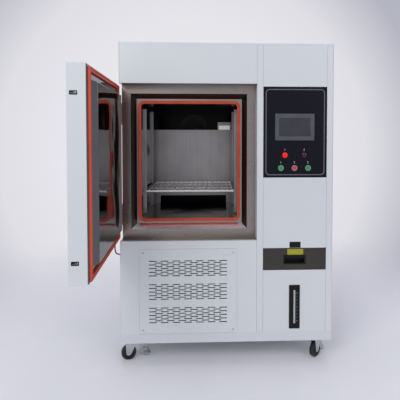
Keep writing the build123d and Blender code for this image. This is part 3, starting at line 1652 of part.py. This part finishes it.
# The part's own origin is under the middle of everything, at the floor
whole = Compound(list(pieces.values())).bounding_box()
to_origin = Location((-whole.center().X, -whole.center().Y, -whole.min.Z))
for node, shape in pieces.items():
    piece = shape.moved(to_origin)
    piece.label = node
    export_step(piece, f"parts/{node}.step")
print(len(pieces), "pieces, origin moved by", to_origin.position, "box", whole.size)
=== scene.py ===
import json
from math import cos, pi, radians, sin

import bmesh
import bpy
from mathutils import Matrix, Vector


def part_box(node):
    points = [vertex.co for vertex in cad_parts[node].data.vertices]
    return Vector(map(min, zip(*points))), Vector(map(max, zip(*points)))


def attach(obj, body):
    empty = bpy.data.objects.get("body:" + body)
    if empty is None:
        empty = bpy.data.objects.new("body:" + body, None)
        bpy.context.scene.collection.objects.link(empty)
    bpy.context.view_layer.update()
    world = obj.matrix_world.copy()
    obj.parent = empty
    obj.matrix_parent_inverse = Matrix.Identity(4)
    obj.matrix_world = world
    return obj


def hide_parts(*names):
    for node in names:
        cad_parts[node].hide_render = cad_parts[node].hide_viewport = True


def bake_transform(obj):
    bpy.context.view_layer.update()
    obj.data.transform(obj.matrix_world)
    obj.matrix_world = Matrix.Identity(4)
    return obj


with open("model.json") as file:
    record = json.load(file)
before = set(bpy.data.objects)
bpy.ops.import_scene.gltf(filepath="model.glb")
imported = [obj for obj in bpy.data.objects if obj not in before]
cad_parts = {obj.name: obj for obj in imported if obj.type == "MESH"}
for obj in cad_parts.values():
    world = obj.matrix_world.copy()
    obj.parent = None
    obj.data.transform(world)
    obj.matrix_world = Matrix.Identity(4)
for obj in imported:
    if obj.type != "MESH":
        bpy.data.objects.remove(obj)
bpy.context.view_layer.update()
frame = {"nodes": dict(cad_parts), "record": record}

# The CAD was drawn from the middle of the cabinet's front, in millimetres
chassis_low, chassis_high = (Vector(corner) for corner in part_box("chassis"))
drawn_at = Vector(((chassis_low.x + chassis_high.x) / 2, chassis_low.y, 0))
hinge_x, hinge_y, door_open = -562.0, 60.0, radians(87)
chamber_x, chamber_z = -195.0, 1034.0


def on_cabinet(x, y, z):
    """A point drawn on the cabinet, in the row frame."""
    return Vector((x, y, z)) / 1000 + drawn_at


def on_door(x, y, z):
    """A point drawn on the closed door, swung open with it."""
    swing = Matrix.Rotation(-door_open, 3, "Z")
    swung = swing @ Vector((x - hinge_x, y - hinge_y, z))
    return on_cabinet(swung.x + hinge_x, swung.y + hinge_y, z)


def in_frame(x, y, z):
    """A point that is in the row frame already."""
    return x, y, z


# Camera, matched to the photograph
camera = bpy.data.objects.new("camera", bpy.data.cameras.new("camera"))
bpy.context.collection.objects.link(camera)
camera.data.sensor_width = 36
camera.data.lens = 39.66
camera.data.shift_x = -0.0761
camera.data.shift_y = -0.1301
camera.location = on_cabinet(-80.7, -2210.9, 1182.7)
camera.rotation_euler = (radians(90 - 1.95), radians(-0.06), radians(-2.49))
bpy.context.scene.camera = camera
bpy.context.scene.view_settings.view_transform = "Standard"


# Materials
def node_tools(tree):
    """A maker of nodes in a tree, with their inputs or settings by name, and a maker of links."""

    def node(kind, **settings):
        made = tree.nodes.new(kind)
        for key, value in settings.items():
            if key in made.inputs:
                made.inputs[key].default_value = value
            else:
                setattr(made, key, value)
        return made

    return node, tree.links.new


def new_material(name):
    """A material, its principled shader, and the makers of nodes and links in it."""
    material = bpy.data.materials.new(name)
    material.use_nodes = True
    shader = material.node_tree.nodes["Principled BSDF"]
    return material, shader, *node_tools(material.node_tree)


def space(node, link, stretch=(1, 1, 1)):
    """Object coordinates, in metres, stretched along the axes."""
    place = node("ShaderNodeTexCoord")
    scale = node("ShaderNodeMapping")
    scale.inputs["Scale"].default_value = stretch
    link(place.outputs["Object"], scale.inputs["Vector"])
    return scale.outputs["Vector"]


def ramp(node, link, value, low, high, start=0.3, end=0.7):
    """Colours from low to high as value goes from start to end."""
    made = node("ShaderNodeValToRGB")
    first, last = made.color_ramp.elements
    first.position, last.position = start, end
    first.color, last.color = (*low, 1), (*high, 1)
    link(value, made.inputs["Fac"])
    return made.outputs["Color"]


def span(node, link, value, low, high, start=0.0, end=1.0):
    """A number from low to high as value goes from start to end."""
    made = node("ShaderNodeMapRange")
    made.inputs["From Min"].default_value = start
    made.inputs["From Max"].default_value = end
    made.inputs["To Min"].default_value = low
    made.inputs["To Max"].default_value = high
    link(value, made.inputs["Value"])
    return made.outputs["Result"]


def bump(node, link, shader, height, distance, strength=1.0):
    """Relief from a height, in metres."""
    made = node("ShaderNodeBump", Strength=strength, Distance=distance)
    link(height, made.inputs["Height"])
    link(made.outputs["Normal"], shader.inputs["Normal"])


def painted(name, colour, rough=(0.32, 0.44), relief=0.00003, shade=0.94, gloss=0.5):
    """Powder coat: fine orange peel, slow changes of colour, and gloss that changes in patches."""
    material, shader, node, link = new_material(name)
    where = space(node, link)
    slow = node("ShaderNodeTexNoise", Scale=1.6, Detail=3.0)
    peel = node("ShaderNodeTexNoise", Scale=420.0, Detail=2.0)
    handled = node("ShaderNodeTexNoise", Scale=14.0, Detail=6.0, Roughness=0.6)
    for noise in (slow, peel, handled):
        link(where, noise.inputs["Vector"])
    dark = tuple(part * shade for part in colour)
    link(ramp(node, link, slow.outputs["Fac"], dark, colour), shader.inputs["Base Color"])
    link(span(node, link, handled.outputs["Fac"], *rough), shader.inputs["Roughness"])
    bump(node, link, shader, peel.outputs["Fac"], relief, 0.5)
    shader.inputs["Specular IOR Level"].default_value = gloss
    return material


def brushed(name, colour, rough=(0.24, 0.42), stretch=(3, 3, 900), shade=0.72, waves=0.0):
    """Stainless steel, ground along one direction, with slow waves where the sheet is thin."""
    material, shader, node, link = new_material(name)
    shader.inputs["Metallic"].default_value = 1.0
    lines = node("ShaderNodeTexNoise", Scale=1.0, Detail=3.0, Roughness=0.7)
    link(space(node, link, stretch), lines.inputs["Vector"])
    smear = node("ShaderNodeTexNoise", Scale=7.0, Detail=4.0)
    link(space(node, link), smear.inputs["Vector"])
    mixed = node("ShaderNodeMix", data_type="FLOAT")
    mixed.inputs[0].default_value = 0.35
    link(lines.outputs["Fac"], mixed.inputs[2])
    link(smear.outputs["Fac"], mixed.inputs[3])
    dark = tuple(part * shade for part in colour)
    link(ramp(node, link, mixed.outputs[0], dark, colour), shader.inputs["Base Color"])
    link(span(node, link, mixed.outputs[0], *rough), shader.inputs["Roughness"])
    if waves:
        slow = node("ShaderNodeTexNoise", Scale=5.0, Detail=1.0)
        link(space(node, link), slow.inputs["Vector"])
        bump(node, link, shader, slow.outputs["Fac"], waves)
    else:
        bump(node, link, shader, lines.outputs["Fac"], 0.00002, 0.4)
    return material


def parts_of(material):
    """A material's shader, and the makers of nodes and links in it."""
    return material.node_tree.nodes["Principled BSDF"], *node_tools(material.node_tree)


def dim(shader, node, link, factor):
    """Multiplies the colour that the shader has by a factor."""
    mixed = node("ShaderNodeMix", data_type="RGBA", blend_type="MULTIPLY")
    mixed.inputs["Factor"].default_value = 1.0
    link(shader.inputs["Base Color"].links[0].from_socket, mixed.inputs["A"])
    link(factor, mixed.inputs["B"])
    link(mixed.outputs["Result"], shader.inputs["Base Color"])


def shaded(name, colour, rough, stretch, front, back, deepest_shade, waves):
    """Brushed steel of a chamber, with painted shade that gets darker from its front to its back."""
    material = brushed(name, colour, rough, stretch, 0.8, waves)
    shader, node, link = parts_of(material)
    place = node("ShaderNodeSeparateXYZ")
    link(node("ShaderNodeTexCoord").outputs["Object"], place.inputs["Vector"])
    start, end = (y / 1000 + drawn_at.y for y in (front, back))
    # Painted shade: the colour is dimmed with depth into the chamber
    dim(shader, node, link, span(node, link, place.outputs["Y"], 1.0, deepest_shade, start, end))
    return material


def stepped(name, colour):
    """Brushed steel of the stepped frame, with painted light: painted shade makes the walls darker
    than the flats, and a painted reflection of the studio light makes the faces that look up, such as
    the lower wall, bright.
    """
    material = brushed(name, colour, (0.22, 0.36), (40, 40, 1500), 0.85)
    shader, node, link = parts_of(material)
    facing = node("ShaderNodeSeparateXYZ")
    link(node("ShaderNodeNewGeometry").outputs["True Normal"], facing.inputs["Vector"])
    painted_light = node("ShaderNodeMath", operation="ADD")
    # Painted shade on the walls that look sideways
    link(span(node, link, facing.outputs["Y"], 1.0, 0.22, -0.97, -0.85), painted_light.inputs[0])
    # Painted reflection of the studio light on the faces that look up
    link(span(node, link, facing.outputs["Z"], 0.0, 3.2, 0.5, 0.7), painted_light.inputs[1])
    dim(shader, node, link, painted_light.outputs["Value"])
    return material


def moulded(name, colour, rough=(0.35, 0.55), grain=700.0, relief=0.00005, gloss=0.5):
    """Plastic or rubber with a fine moulded grain."""
    material, shader, node, link = new_material(name)
    where = space(node, link)
    fine = node("ShaderNodeTexNoise", Scale=grain, Detail=3.0)
    slow = node("ShaderNodeTexNoise", Scale=18.0, Detail=3.0)
    for noise in (fine, slow):
        link(where, noise.inputs["Vector"])
    dark = tuple(part * 0.82 for part in colour)
    link(ramp(node, link, slow.outputs["Fac"], dark, colour), shader.inputs["Base Color"])
    link(span(node, link, slow.outputs["Fac"], *rough), shader.inputs["Roughness"])
    bump(node, link, shader, fine.outputs["Fac"], relief, 0.6)
    shader.inputs["Specular IOR Level"].default_value = gloss
    return material


def glowing(name, colour, light, rough=0.25):
    """A lit lens with brighter facets inside it."""
    material, shader, node, link = new_material(name)
    cells = node("ShaderNodeTexVoronoi", Scale=260.0)
    link(space(node, link), cells.inputs["Vector"])
    dark = tuple(part * 0.55 for part in colour)
    shown = ramp(node, link, cells.outputs["Distance"], colour, dark, 0.0, 0.6)
    link(shown, shader.inputs["Base Color"])
    link(shown, shader.inputs["Emission Color"])
    shader.inputs["Emission Strength"].default_value = light
    shader.inputs["Roughness"].default_value = rough
    return material


white = painted("white_powder_coat", (0.7, 0.73, 0.735))
base_white = painted("base_powder_coat", (0.68, 0.7, 0.72))
steel = brushed("brushed_stainless", (0.42, 0.395, 0.36), (0.26, 0.42), (3, 3, 700))
# Stepped frame, with painted shade on its walls and a painted reflection on its upward faces
frame_steel = stepped("frame_stainless", (0.44, 0.395, 0.35))
# Latch bolts: near black, partly dark steel and partly painted shade of the slots they sit in
latch_steel_with_painted_shade = brushed("latch_steel_with_painted_shade", (0.05, 0.05, 0.053), (0.2, 0.34), (300, 300, 30), 0.5)
# The blower wheel sits deep in the dark plenum; its near-black colour is painted shade
wheel_steel_painted_shade = brushed("blower_steel_painted_shade", (0.05, 0.048, 0.045), (0.4, 0.6), (60, 60, 60), 0.6)
# Chamber liner: brushed steel with painted shade that deepens towards the back of the chamber
liner_steel = shaded(
    "bright_stainless", (0.2, 0.18, 0.16), (0.1, 0.2), (2, 2, 500),
    front=130, back=640, deepest_shade=0.05, waves=0.0012,
)
plug_steel = brushed("polished_stainless", (0.2, 0.2, 0.2), (0.03, 0.09), (2, 2, 300), 0.85, 0.004)
duct_steel = brushed("duct_stainless", (0.54, 0.515, 0.485), (0.26, 0.42), (500, 3, 3), 0.6)
wire_steel = brushed("wire_stainless", (0.85, 0.84, 0.82), (0.3, 0.4), (60, 60, 60), 0.9)
drawer_steel = brushed("dark_stainless", (0.095, 0.086, 0.077), (0.3, 0.4), (3, 3, 1100), 0.8)
zinc = brushed("zinc_plate", (0.62, 0.64, 0.65), (0.28, 0.5), (70, 70, 70), 0.75)
fin_metal = brushed("fin_aluminium", (0.4, 0.4, 0.4), (0.4, 0.6), (900, 3, 3), 0.35)
black_panel = painted("black_panel", (0.008, 0.0095, 0.014), (0.3, 0.42), 0.00001, 0.8, 0.12)
black_plastic = moulded("black_plastic", (0.009, 0.009, 0.01), gloss=0.2)
tread = moulded("caster_tread", (0.012, 0.012, 0.013), (0.4, 0.6), 300.0, 0.0001)
sheath = moulded("cable_sheath", (0.012, 0.012, 0.013), (0.45, 0.6), 900.0, 0.00003)
bezel_plastic = moulded("bezel_plastic", (0.085, 0.092, 0.1), (0.4, 0.5))
screen_glass = moulded("screen_glass", (0.045, 0.046, 0.055), (0.08, 0.14), 20.0, 0.0)
silicone = moulded("seal_silicone", (0.66, 0.085, 0.035), (0.42, 0.58), 500.0, 0.00006)
green = moulded("green_cap", (0.014, 0.34, 0.1), (0.22, 0.32), 200.0, 0.00001)
red = moulded("red_cap", (0.62, 0.06, 0.1), (0.22, 0.32), 200.0, 0.00001)
ring_metal = brushed("ring_metal", (0.62, 0.62, 0.62), (0.2, 0.32), (200, 200, 200), 0.8)
lit_red = glowing("lit_red_lens", (0.9, 0.01, 0.006), 0.7)
unlit_red = moulded("unlit_red_lens", (0.06, 0.006, 0.014), (0.12, 0.2), 200.0, 0.00001)
lamp_light = glowing("lamp_lens", (0.92, 0.9, 0.84), 0.6, 0.12)
yellow = moulded("yellow_plate", (0.42, 0.42, 0.02), (0.4, 0.5), 300.0, 0.00001)
white_mark = moulded("white_mark", (0.6, 0.6, 0.6), (0.5, 0.6), 300.0, 0.0)
grey_line = moulded("grey_line", (0.13, 0.13, 0.135), (0.4, 0.5), 300.0, 0.0)
foam = moulded("foam", (0.75, 0.68, 0.45), (0.8, 0.9), 90.0, 0.0006)
tank_plastic = moulded("tank_plastic", (0.7, 0.73, 0.74), (0.3, 0.45), 200.0, 0.00003)
tube_plastic = moulded("tube_plastic", (0.55, 0.58, 0.6), (0.05, 0.1), 80.0, 0.0)
motor_black = painted("motor_black", (0.02, 0.02, 0.022), (0.25, 0.4))

# The finish of each of the record's material slots, and of the nodes that differ from theirs
finishes = {
    "white_paint": white,
    "base_paint": base_white,
    "stainless": steel,
    "polished_stainless": liner_steel,
    "dark_stainless": drawer_steel,
    "black_panel": black_panel,
    "black_plastic": black_plastic,
    "grey_plastic": bezel_plastic,
    "lamp_lens": unlit_red,
    "green_plastic": green,
    "red_plastic": red,
    "seal_rubber": silicone,
    "black_rubber": sheath,
    "foam": foam,
    "aluminium": fin_metal,
    "cast_black": motor_black,
    "zinc_steel": zinc,
    "caster_tread": tread,
    "lamp_glass": duct_steel,
    "tank_plastic": tank_plastic,
}
own_finishes = {
    "duct_panel": duct_steel,
    "door_plug": plug_steel,
    "shelf_rack": wire_steel,
    "shelf_posts": duct_steel,
    "button_rings": ring_metal,
    "door_frame": frame_steel,
    "latch_bolt_top": latch_steel_with_painted_shade,
    "latch_bolt_bottom": latch_steel_with_painted_shade,
    "blower_wheel": wheel_steel_painted_shade,
}
for part in frame["record"]["subparts"]:
    finish = own_finishes.get(part["node"], finishes[part["material_slot"]])
    for slot in frame["nodes"][part["node"]].material_slots:
        slot.material = finish


# Shapes, drawn in millimetres on the cabinet or on the closed door
def piece(name, points, faces, finish, body, place=on_cabinet, smooth=False):
    """A mesh that rides on a CAD body, or on none, with its finish."""
    mesh = bpy.data.meshes.new(name)
    mesh.from_pydata([place(*point) for point in points], [], faces)
    mesh.materials.append(finish)
    outward = bmesh.new()
    outward.from_mesh(mesh)
    bmesh.ops.recalc_face_normals(outward, faces=outward.faces)
    outward.to_mesh(mesh)
    outward.free()
    made = bpy.data.objects.new(name, mesh)
    bpy.context.collection.objects.link(made)
    if smooth:
        mesh.shade_smooth()
        made.modifiers.new("edges", "EDGE_SPLIT").split_angle = radians(38)
    if body:
        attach(made, body)
    return made


def round_corners(x0, x1, z0, z1, radius, steps=8):
    """The outline of a rectangle with rounded corners."""
    outline = []
    corners = ((x1, z1, 0), (x0, z1, 90), (x0, z0, 180), (x1, z0, 270))
    for x, z, start in corners:
        middle_x = x - radius if x == x1 else x + radius
        middle_z = z - radius if z == z1 else z + radius
        for step in range(steps + 1):
            turn = radians(start + 90 * step / steps)
            outline.append((middle_x + radius * cos(turn), middle_z + radius * sin(turn)))
    return outline


def stacked(name, rings, finish, body, place=on_cabinet, smooth=True, closed=False):
    """A skin over rings of as many points each, with its ends capped or, if closed, joined."""
    count = len(rings[0])
    points = [point for ring in rings for point in ring]
    faces = []
    levels = len(rings) if closed else len(rings) - 1
    for level in range(levels):
        low, high = level * count, (level + 1) % len(rings) * count
        for step in range(count):
            after = (step + 1) % count
            faces.append((low + step, low + after, high + after, high + step))
    if not closed:
        faces.append(tuple(range(count)))
        faces.append(tuple(range(levels * count, len(points))))
    return piece(name, points, faces, finish, body, place, smooth)


def plate(name, x0, x1, z0, z1, front, back, radius, finish, body, soft=0.6):
    """A plate on the cabinet with rounded corners and a softened front edge."""
    rings = []
    for inset, y in ((0, back), (0, front + soft), (soft * 0.3, front + soft * 0.3), (soft, front)):
        corner = max(radius - inset, 0.2)
        outline = round_corners(x0 + inset, x1 - inset, z0 + inset, z1 - inset, corner)
        rings.append([(x, y, z) for x, z in outline])
    return stacked(name, rings, finish, body)


def border(name, x0, x1, z0, z1, radius, profile, finish, body, place=on_cabinet, steps=8):
    """A profile of (inset, y) points carried round a rectangle with rounded corners."""
    rings = []
    for inset, y in profile:
        corner = max(radius - inset, 0.05)
        outline = round_corners(x0 + inset, x1 - inset, z0 + inset, z1 - inset, corner, steps)
        rings.append([(x, y, z) for x, z in outline])
    return stacked(name, rings, finish, body, place, closed=True)


def turned(name, x, z, profile, finish, body, sides=40):
    """A profile of (radius, y) points turned round an axis from front to back."""
    turns = [2 * pi * side / sides for side in range(sides)]
    rings = [
        [(x + radius * cos(turn), y, z + radius * sin(turn)) for turn in turns]
        for radius, y in profile
    ]
    return stacked(name, rings, finish, body)


def number(name, text, x, z):
    """A plain white number, 15 mm high, that lies on the control panel."""
    words = bpy.data.curves.new(name, "FONT")
    words.body = text
    words.size = 15
    words.align_x = "CENTER"
    words.extrude = 0.05
    shown = bpy.data.objects.new(name, words)
    bpy.context.collection.objects.link(shown)
    mesh = bpy.data.meshes.new_from_object(shown)
    bpy.data.objects.remove(shown)
    points = [(x + vertex.co.x, -0.1 - vertex.co.z, z + vertex.co.y) for vertex in mesh.vertices]
    faces = [tuple(polygon.vertices) for polygon in mesh.polygons]
    return piece(name, points, faces, white_mark, "cabinet")


# Door cable: one smooth line over the route of the CAD tube, bending between cabinet and door
start = on_door(-555, 50, 680)
end = on_cabinet(-555, 86, 551)
route = [
    start,
    start + Vector((-0.0013, 0.025, 0)),
    start + Vector((-0.005, 0.048, -0.009)),
    start + Vector((-0.009, 0.061, -0.03)),
    start + Vector((-0.013, 0.064, -0.056)),
    end + Vector((-0.031, 0.023, 0.045)),
    end + Vector((-0.028, 0.009, 0.015)),
    end + Vector((-0.016, 0, 0)),
    end,
]
line = bpy.data.curves.new("cable_line", "CURVE")
line.dimensions = "3D"
spline = line.splines.new("NURBS")
spline.points.add(len(route) - 1)
for control, point in zip(spline.points, route):
    control.co = (*point, 1)
spline.order_u = 3
spline.use_endpoint_u = True
spline.resolution_u = 12
line_object = bpy.data.objects.new("cable_line", line)
bpy.context.collection.objects.link(line_object)
path = [vertex.co.copy() for vertex in bpy.data.meshes.new_from_object(line_object).vertices]
bpy.data.objects.remove(line_object)

cable_radius = 0.00325
cable_turns = [2 * pi * side / 16 for side in range(16)]
cable_rings = []
side_way = None
for index, point in enumerate(path):
    ahead = (path[min(index + 1, len(path) - 1)] - path[max(index - 1, 0)]).normalized()
    side_way = ahead.orthogonal() if side_way is None else side_way - ahead * side_way.dot(ahead)
    side_way.normalize()
    other_way = ahead.cross(side_way)
    cable_rings.append(
        [point + cable_radius * (side_way * cos(turn) + other_way * sin(turn)) for turn in cable_turns]
    )
cable = stacked("cable_sheath", cable_rings, sheath, None, in_frame)
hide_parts("door_cable")
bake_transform(cable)

# Seals: a double bulb round the chamber's mouth, two lips round the door
mouth = (chamber_x - 266.2, chamber_x + 266.2, chamber_z - 316.2, chamber_z + 316.2)
bulb = ((0, 112.8), (0, 101.5), (1.2, 98.8), (4.2, 97.4), (6.8, 98.3), (8, 99.6), (9.2, 98.3),
        (11.8, 97.4), (14.8, 98.8), (16, 101.5), (16, 112.8))
mouth_seal = border("mouth_seal", *mouth, 33, bulb, silicone, "cabinet", steps=14)
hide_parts("frame_gasket")
door_edge = (chamber_x - 335, chamber_x + 332.5, chamber_z - 383.5, chamber_z + 383.5)
lips = ((0, 71.4), (0, 77.6), (1.2, 80), (3.4, 80.6), (5.6, 79.4), (7, 77.2), (11, 77.2),
        (12.4, 79.4), (14.6, 80.6), (16.8, 80), (18, 77.6), (18, 71.4))
door_seal = border("door_seal", *door_edge, 1.5, lips, silicone, "door", on_door, 3)
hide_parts("door_gasket")

# Stainless trims that close the mouth of the door opening, between the covers and the stepped frame
trim_left, trim_right, trim_front, trim_back = -539, 149, 21, 80.6
for name, z in (("sill_trim", 637.6), ("head_trim", 1429.8)):
    trim_rings = []
    for inset, rise in ((1.2, 0), (0, 0.2), (0, 0.6), (1.2, 0.8)):
        left, right, front = trim_left + inset, trim_right - inset, trim_front + inset
        outline = ((left, front), (right, front), (right, trim_back), (left, trim_back))
        trim_rings.append([(x, y, z - 0.2 + rise) for x, y in outline])
    stacked(name, trim_rings, steel, "cabinet", smooth=False)

# Control panel: a printed line, the touchscreen, lamps, buttons and plain numbers
line_profile = ((0, 0), (0, -0.25), (5, -0.25), (5, 0))
border("panel_line", 192.5, 493.5, 969, 1404, 20, line_profile, grey_line, "cabinet", steps=12)
plate("screen_face", 260.4, 420.6, 1166.4, 1258.6, -5.5, -5.22, 1.5, screen_glass, "cabinet", 0.1)
step_profile = ((0, -6.2), (0.6, -6.9), (2.6, -6.9), (3.2, -6.2))
border("screen_step", 248, 432, 1153, 1272, 4, step_profile, bezel_plastic, "cabinet")
lamp_places, lamp_z = (291, 389), 1071
dome = [(14, 0), (14, -3.5), (13.4, -5.4), (11.6, -7), (8.5, -8.1), (4.5, -8.6), (0.4, -8.7)]
for x, name, finish in zip(lamp_places, ("lit_lens", "unlit_lens"), (lit_red, unlit_red)):
    lens = turned(name, x, lamp_z, dome, finish, "cabinet")
    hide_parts("pilot_lamps")
button_places, button_z = (270.4, 339.4, 408.4), 1006
cap = [(12, 15), (12, -7.4), (11.5, -8.6), (10.2, -9), (9.2, -8.8), (6, -8.1), (0.3, -7.9)]
for x, name, finish in zip(button_places, ("run", "stop", "light"), (green, red, green)):
    button = turned(f"{name}_cap", x, button_z, cap, finish, f"{name}_button")
    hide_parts(f"button_{name}")
for index, x in enumerate(lamp_places, 1):
    number(f"lamp_number_{index}", str(index), x, lamp_z + 22)
for index, x in enumerate(button_places, 1):
    number(f"button_number_{index}", str(index), x, button_z + 23)

# Water drawer: blank plates on it and above it
plate("black_tag", 317, 374, 598.8, 629, -0.8, 0, 1.5, black_plastic, "cabinet")
plate("yellow_tag", 306, 388, 563, 592, -0.8, 0, 1.5, yellow, "drawer")

# Level gauge: slotted plate, clear tube and the tube's marks
gauge_outer = round_corners(316, 371, 182, 407, 2)
gauge_inner = round_corners(337.5, 349.5, 208, 382, 6)
gauge_rings = []
for outline, y in (
    (gauge_outer, 0), (gauge_outer, -2.3), (gauge_outer, -2.7), (gauge_inner, -2.7), (gauge_inner, 0)
):
    gauge_rings.append([(x, y, z) for x, z in outline])
gauge = stacked("gauge_plate", gauge_rings, black_plastic, "cabinet", closed=True)
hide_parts("level_gauge")
tube_x, tube_y = 343.5, 2
tube_turns = [pi * side / 12 for side in range(24)]
tube_rings = []
for radius, z in ((3.4, 212), (4.5, 212.4), (4.5, 377.6), (3.4, 378)):
    tube_rings.append(
        [(tube_x + radius * cos(turn), tube_y + radius * sin(turn), z) for turn in tube_turns]
    )
stacked("gauge_tube", tube_rings, tube_plastic, "cabinet")
mark_left, lowest_mark, mark_spacing, half_mark = 352.5, 222, 18, 0.6
for index in range(9):
    mark_z = lowest_mark + index * mark_spacing
    mark_right = mark_left + (8 if index % 4 == 0 else 5)
    plate(f"gauge_mark_{index}", mark_left, mark_right, mark_z - half_mark, mark_z + half_mark,
          -2.85, -2.7, 0.3, white_mark, "cabinet", 0.05)

# Latch bolts: a bright tooth on the face of each dark bolt, whose near-black colour is partly dark
# steel and partly painted shade of its slot
tooth = ((14, -4.5), (31, -4.5), (35, -1), (35, 4.5), (26, 4.5), (24, 1), (16, 1), (13, -1.5))
for name, z in (("latch_top", 1323), ("latch_bottom", 721)):
    tooth_rings = [[(x, y, z + dz) for y, dz in tooth] for x in (148.2, 148.45)]
    tooth_rings.append([(148.5, 24 + (y - 24) * 0.94, z + dz * 0.9) for y, dz in tooth])
    stacked(f"{name}_tooth", tooth_rings, zinc, name, on_door, smooth=False)

# Screws of the louvre panel: a pan head with a round recess
head = [(4.6, -0.3), (4.6, -1.4), (3.9, -2.4), (2.2, -3), (0.9, -3.1), (0.5, -1.8)]
for index, (x, z) in enumerate(((-424, 578.4), (31, 578.4), (-424, 185.2), (31, 185.2))):
    turned(f"louvre_screw_{index}", x, z, head, zinc, "cabinet", sides=24)

# Chamber lamp: a bulging lens in the sloping front of its housing
lens_rings = []
for inset, rise in ((0, 0), (1, 2.5), (5, 5.5), (11, 7)):
    low, high = inset * 0.35, 26 - inset * 0.35
    outline = round_corners(-33 + inset, 38 - inset, low, high, 5 - inset * 0.3)
    lens_rings.append(
        [(x, 613 - 11.3 * z / 30 - rise * 0.936, 1203.5 + z - rise * 0.352) for x, z in outline]
    )
stacked("chamber_lamp_lens", lens_rings, lamp_light, "cabinet")

# Floor, which fades away from the object
floor_size = 9.0
floor_mesh = bpy.data.meshes.new("floor")
floor_corners = [(x * floor_size, y * floor_size, 0) for x, y in ((-1, -1), (1, -1), (1, 1), (-1, 1))]
floor_mesh.from_pydata(floor_corners, [], [(0, 1, 2, 3)])
floor = bpy.data.objects.new("floor", floor_mesh)
bpy.context.collection.objects.link(floor)
floor_finish, floor_shader, node, link = new_material("studio_floor")
floor_shader.inputs["Roughness"].default_value = 0.7
patches = node("ShaderNodeTexNoise", Scale=3.0, Detail=4.0)
link(space(node, link), patches.inputs["Vector"])
tone = ramp(node, link, patches.outputs["Fac"], (0.86, 0.86, 0.88), (0.88, 0.88, 0.9))
link(tone, floor_shader.inputs["Base Color"])
away = node("ShaderNodeVectorMath", operation="LENGTH")
link(space(node, link), away.inputs[0])
fade = node("ShaderNodeMapRange", interpolation_type="SMOOTHSTEP")
fade.inputs["From Min"].default_value = 1.0
fade.inputs["From Max"].default_value = 3.0
fade.inputs["To Min"].default_value = 1.0
fade.inputs["To Max"].default_value = 0.0
link(away.outputs["Value"], fade.inputs["Value"])
link(fade.outputs["Result"], floor_shader.inputs["Alpha"])
floor_mesh.materials.append(floor_finish)

# Backdrop: a bright halo behind the object
world = bpy.data.worlds.new("studio")
bpy.context.scene.world = world
world.use_nodes = True
node, link = node_tools(world.node_tree)
backdrop = world.node_tree.nodes["Background"]
toward = node("ShaderNodeVectorMath", operation="DOT_PRODUCT")
toward.inputs[1].default_value = Vector((-0.05, 1, -0.04)).normalized()
link(node("ShaderNodeTexCoord").outputs["Generated"], toward.inputs[0])
tones = node("ShaderNodeValToRGB")
tones.color_ramp.elements[0].color = (0.46, 0.465, 0.54, 1)
tones.color_ramp.elements[1].color = (0.84, 0.83, 0.87, 1)
tones.color_ramp.elements.new(0.42).color = (0.74, 0.735, 0.78, 1)
link(span(node, link, toward.outputs["Value"], 0.0, 1.0, 0.87, 1.0), tones.inputs["Fac"])
link(tones.outputs["Color"], backdrop.inputs["Color"])
backdrop.inputs["Strength"].default_value = 1.0


def softbox(name, place, aim, size, power):
    """A square studio light, aimed at a point."""
    light = bpy.data.lights.new(name, "AREA")
    light.shape = "SQUARE"
    light.size = size
    light.energy = power
    made = bpy.data.objects.new(name, light)
    bpy.context.collection.objects.link(made)
    made.location = place
    made.rotation_euler = (Vector(aim) - Vector(place)).to_track_quat("-Z", "Y").to_euler()


softbox("key_light", (-1.8, -3.6, 3.4), (0, -0.1, 1.0), 2.2, 72)
softbox("fill_light", (2.8, -3.2, 2.2), (0, -0.1, 0.9), 2.0, 25)
softbox("top_light", (0.2, 0.6, 4.2), (0, 0.2, 0.5), 2.6, 35)
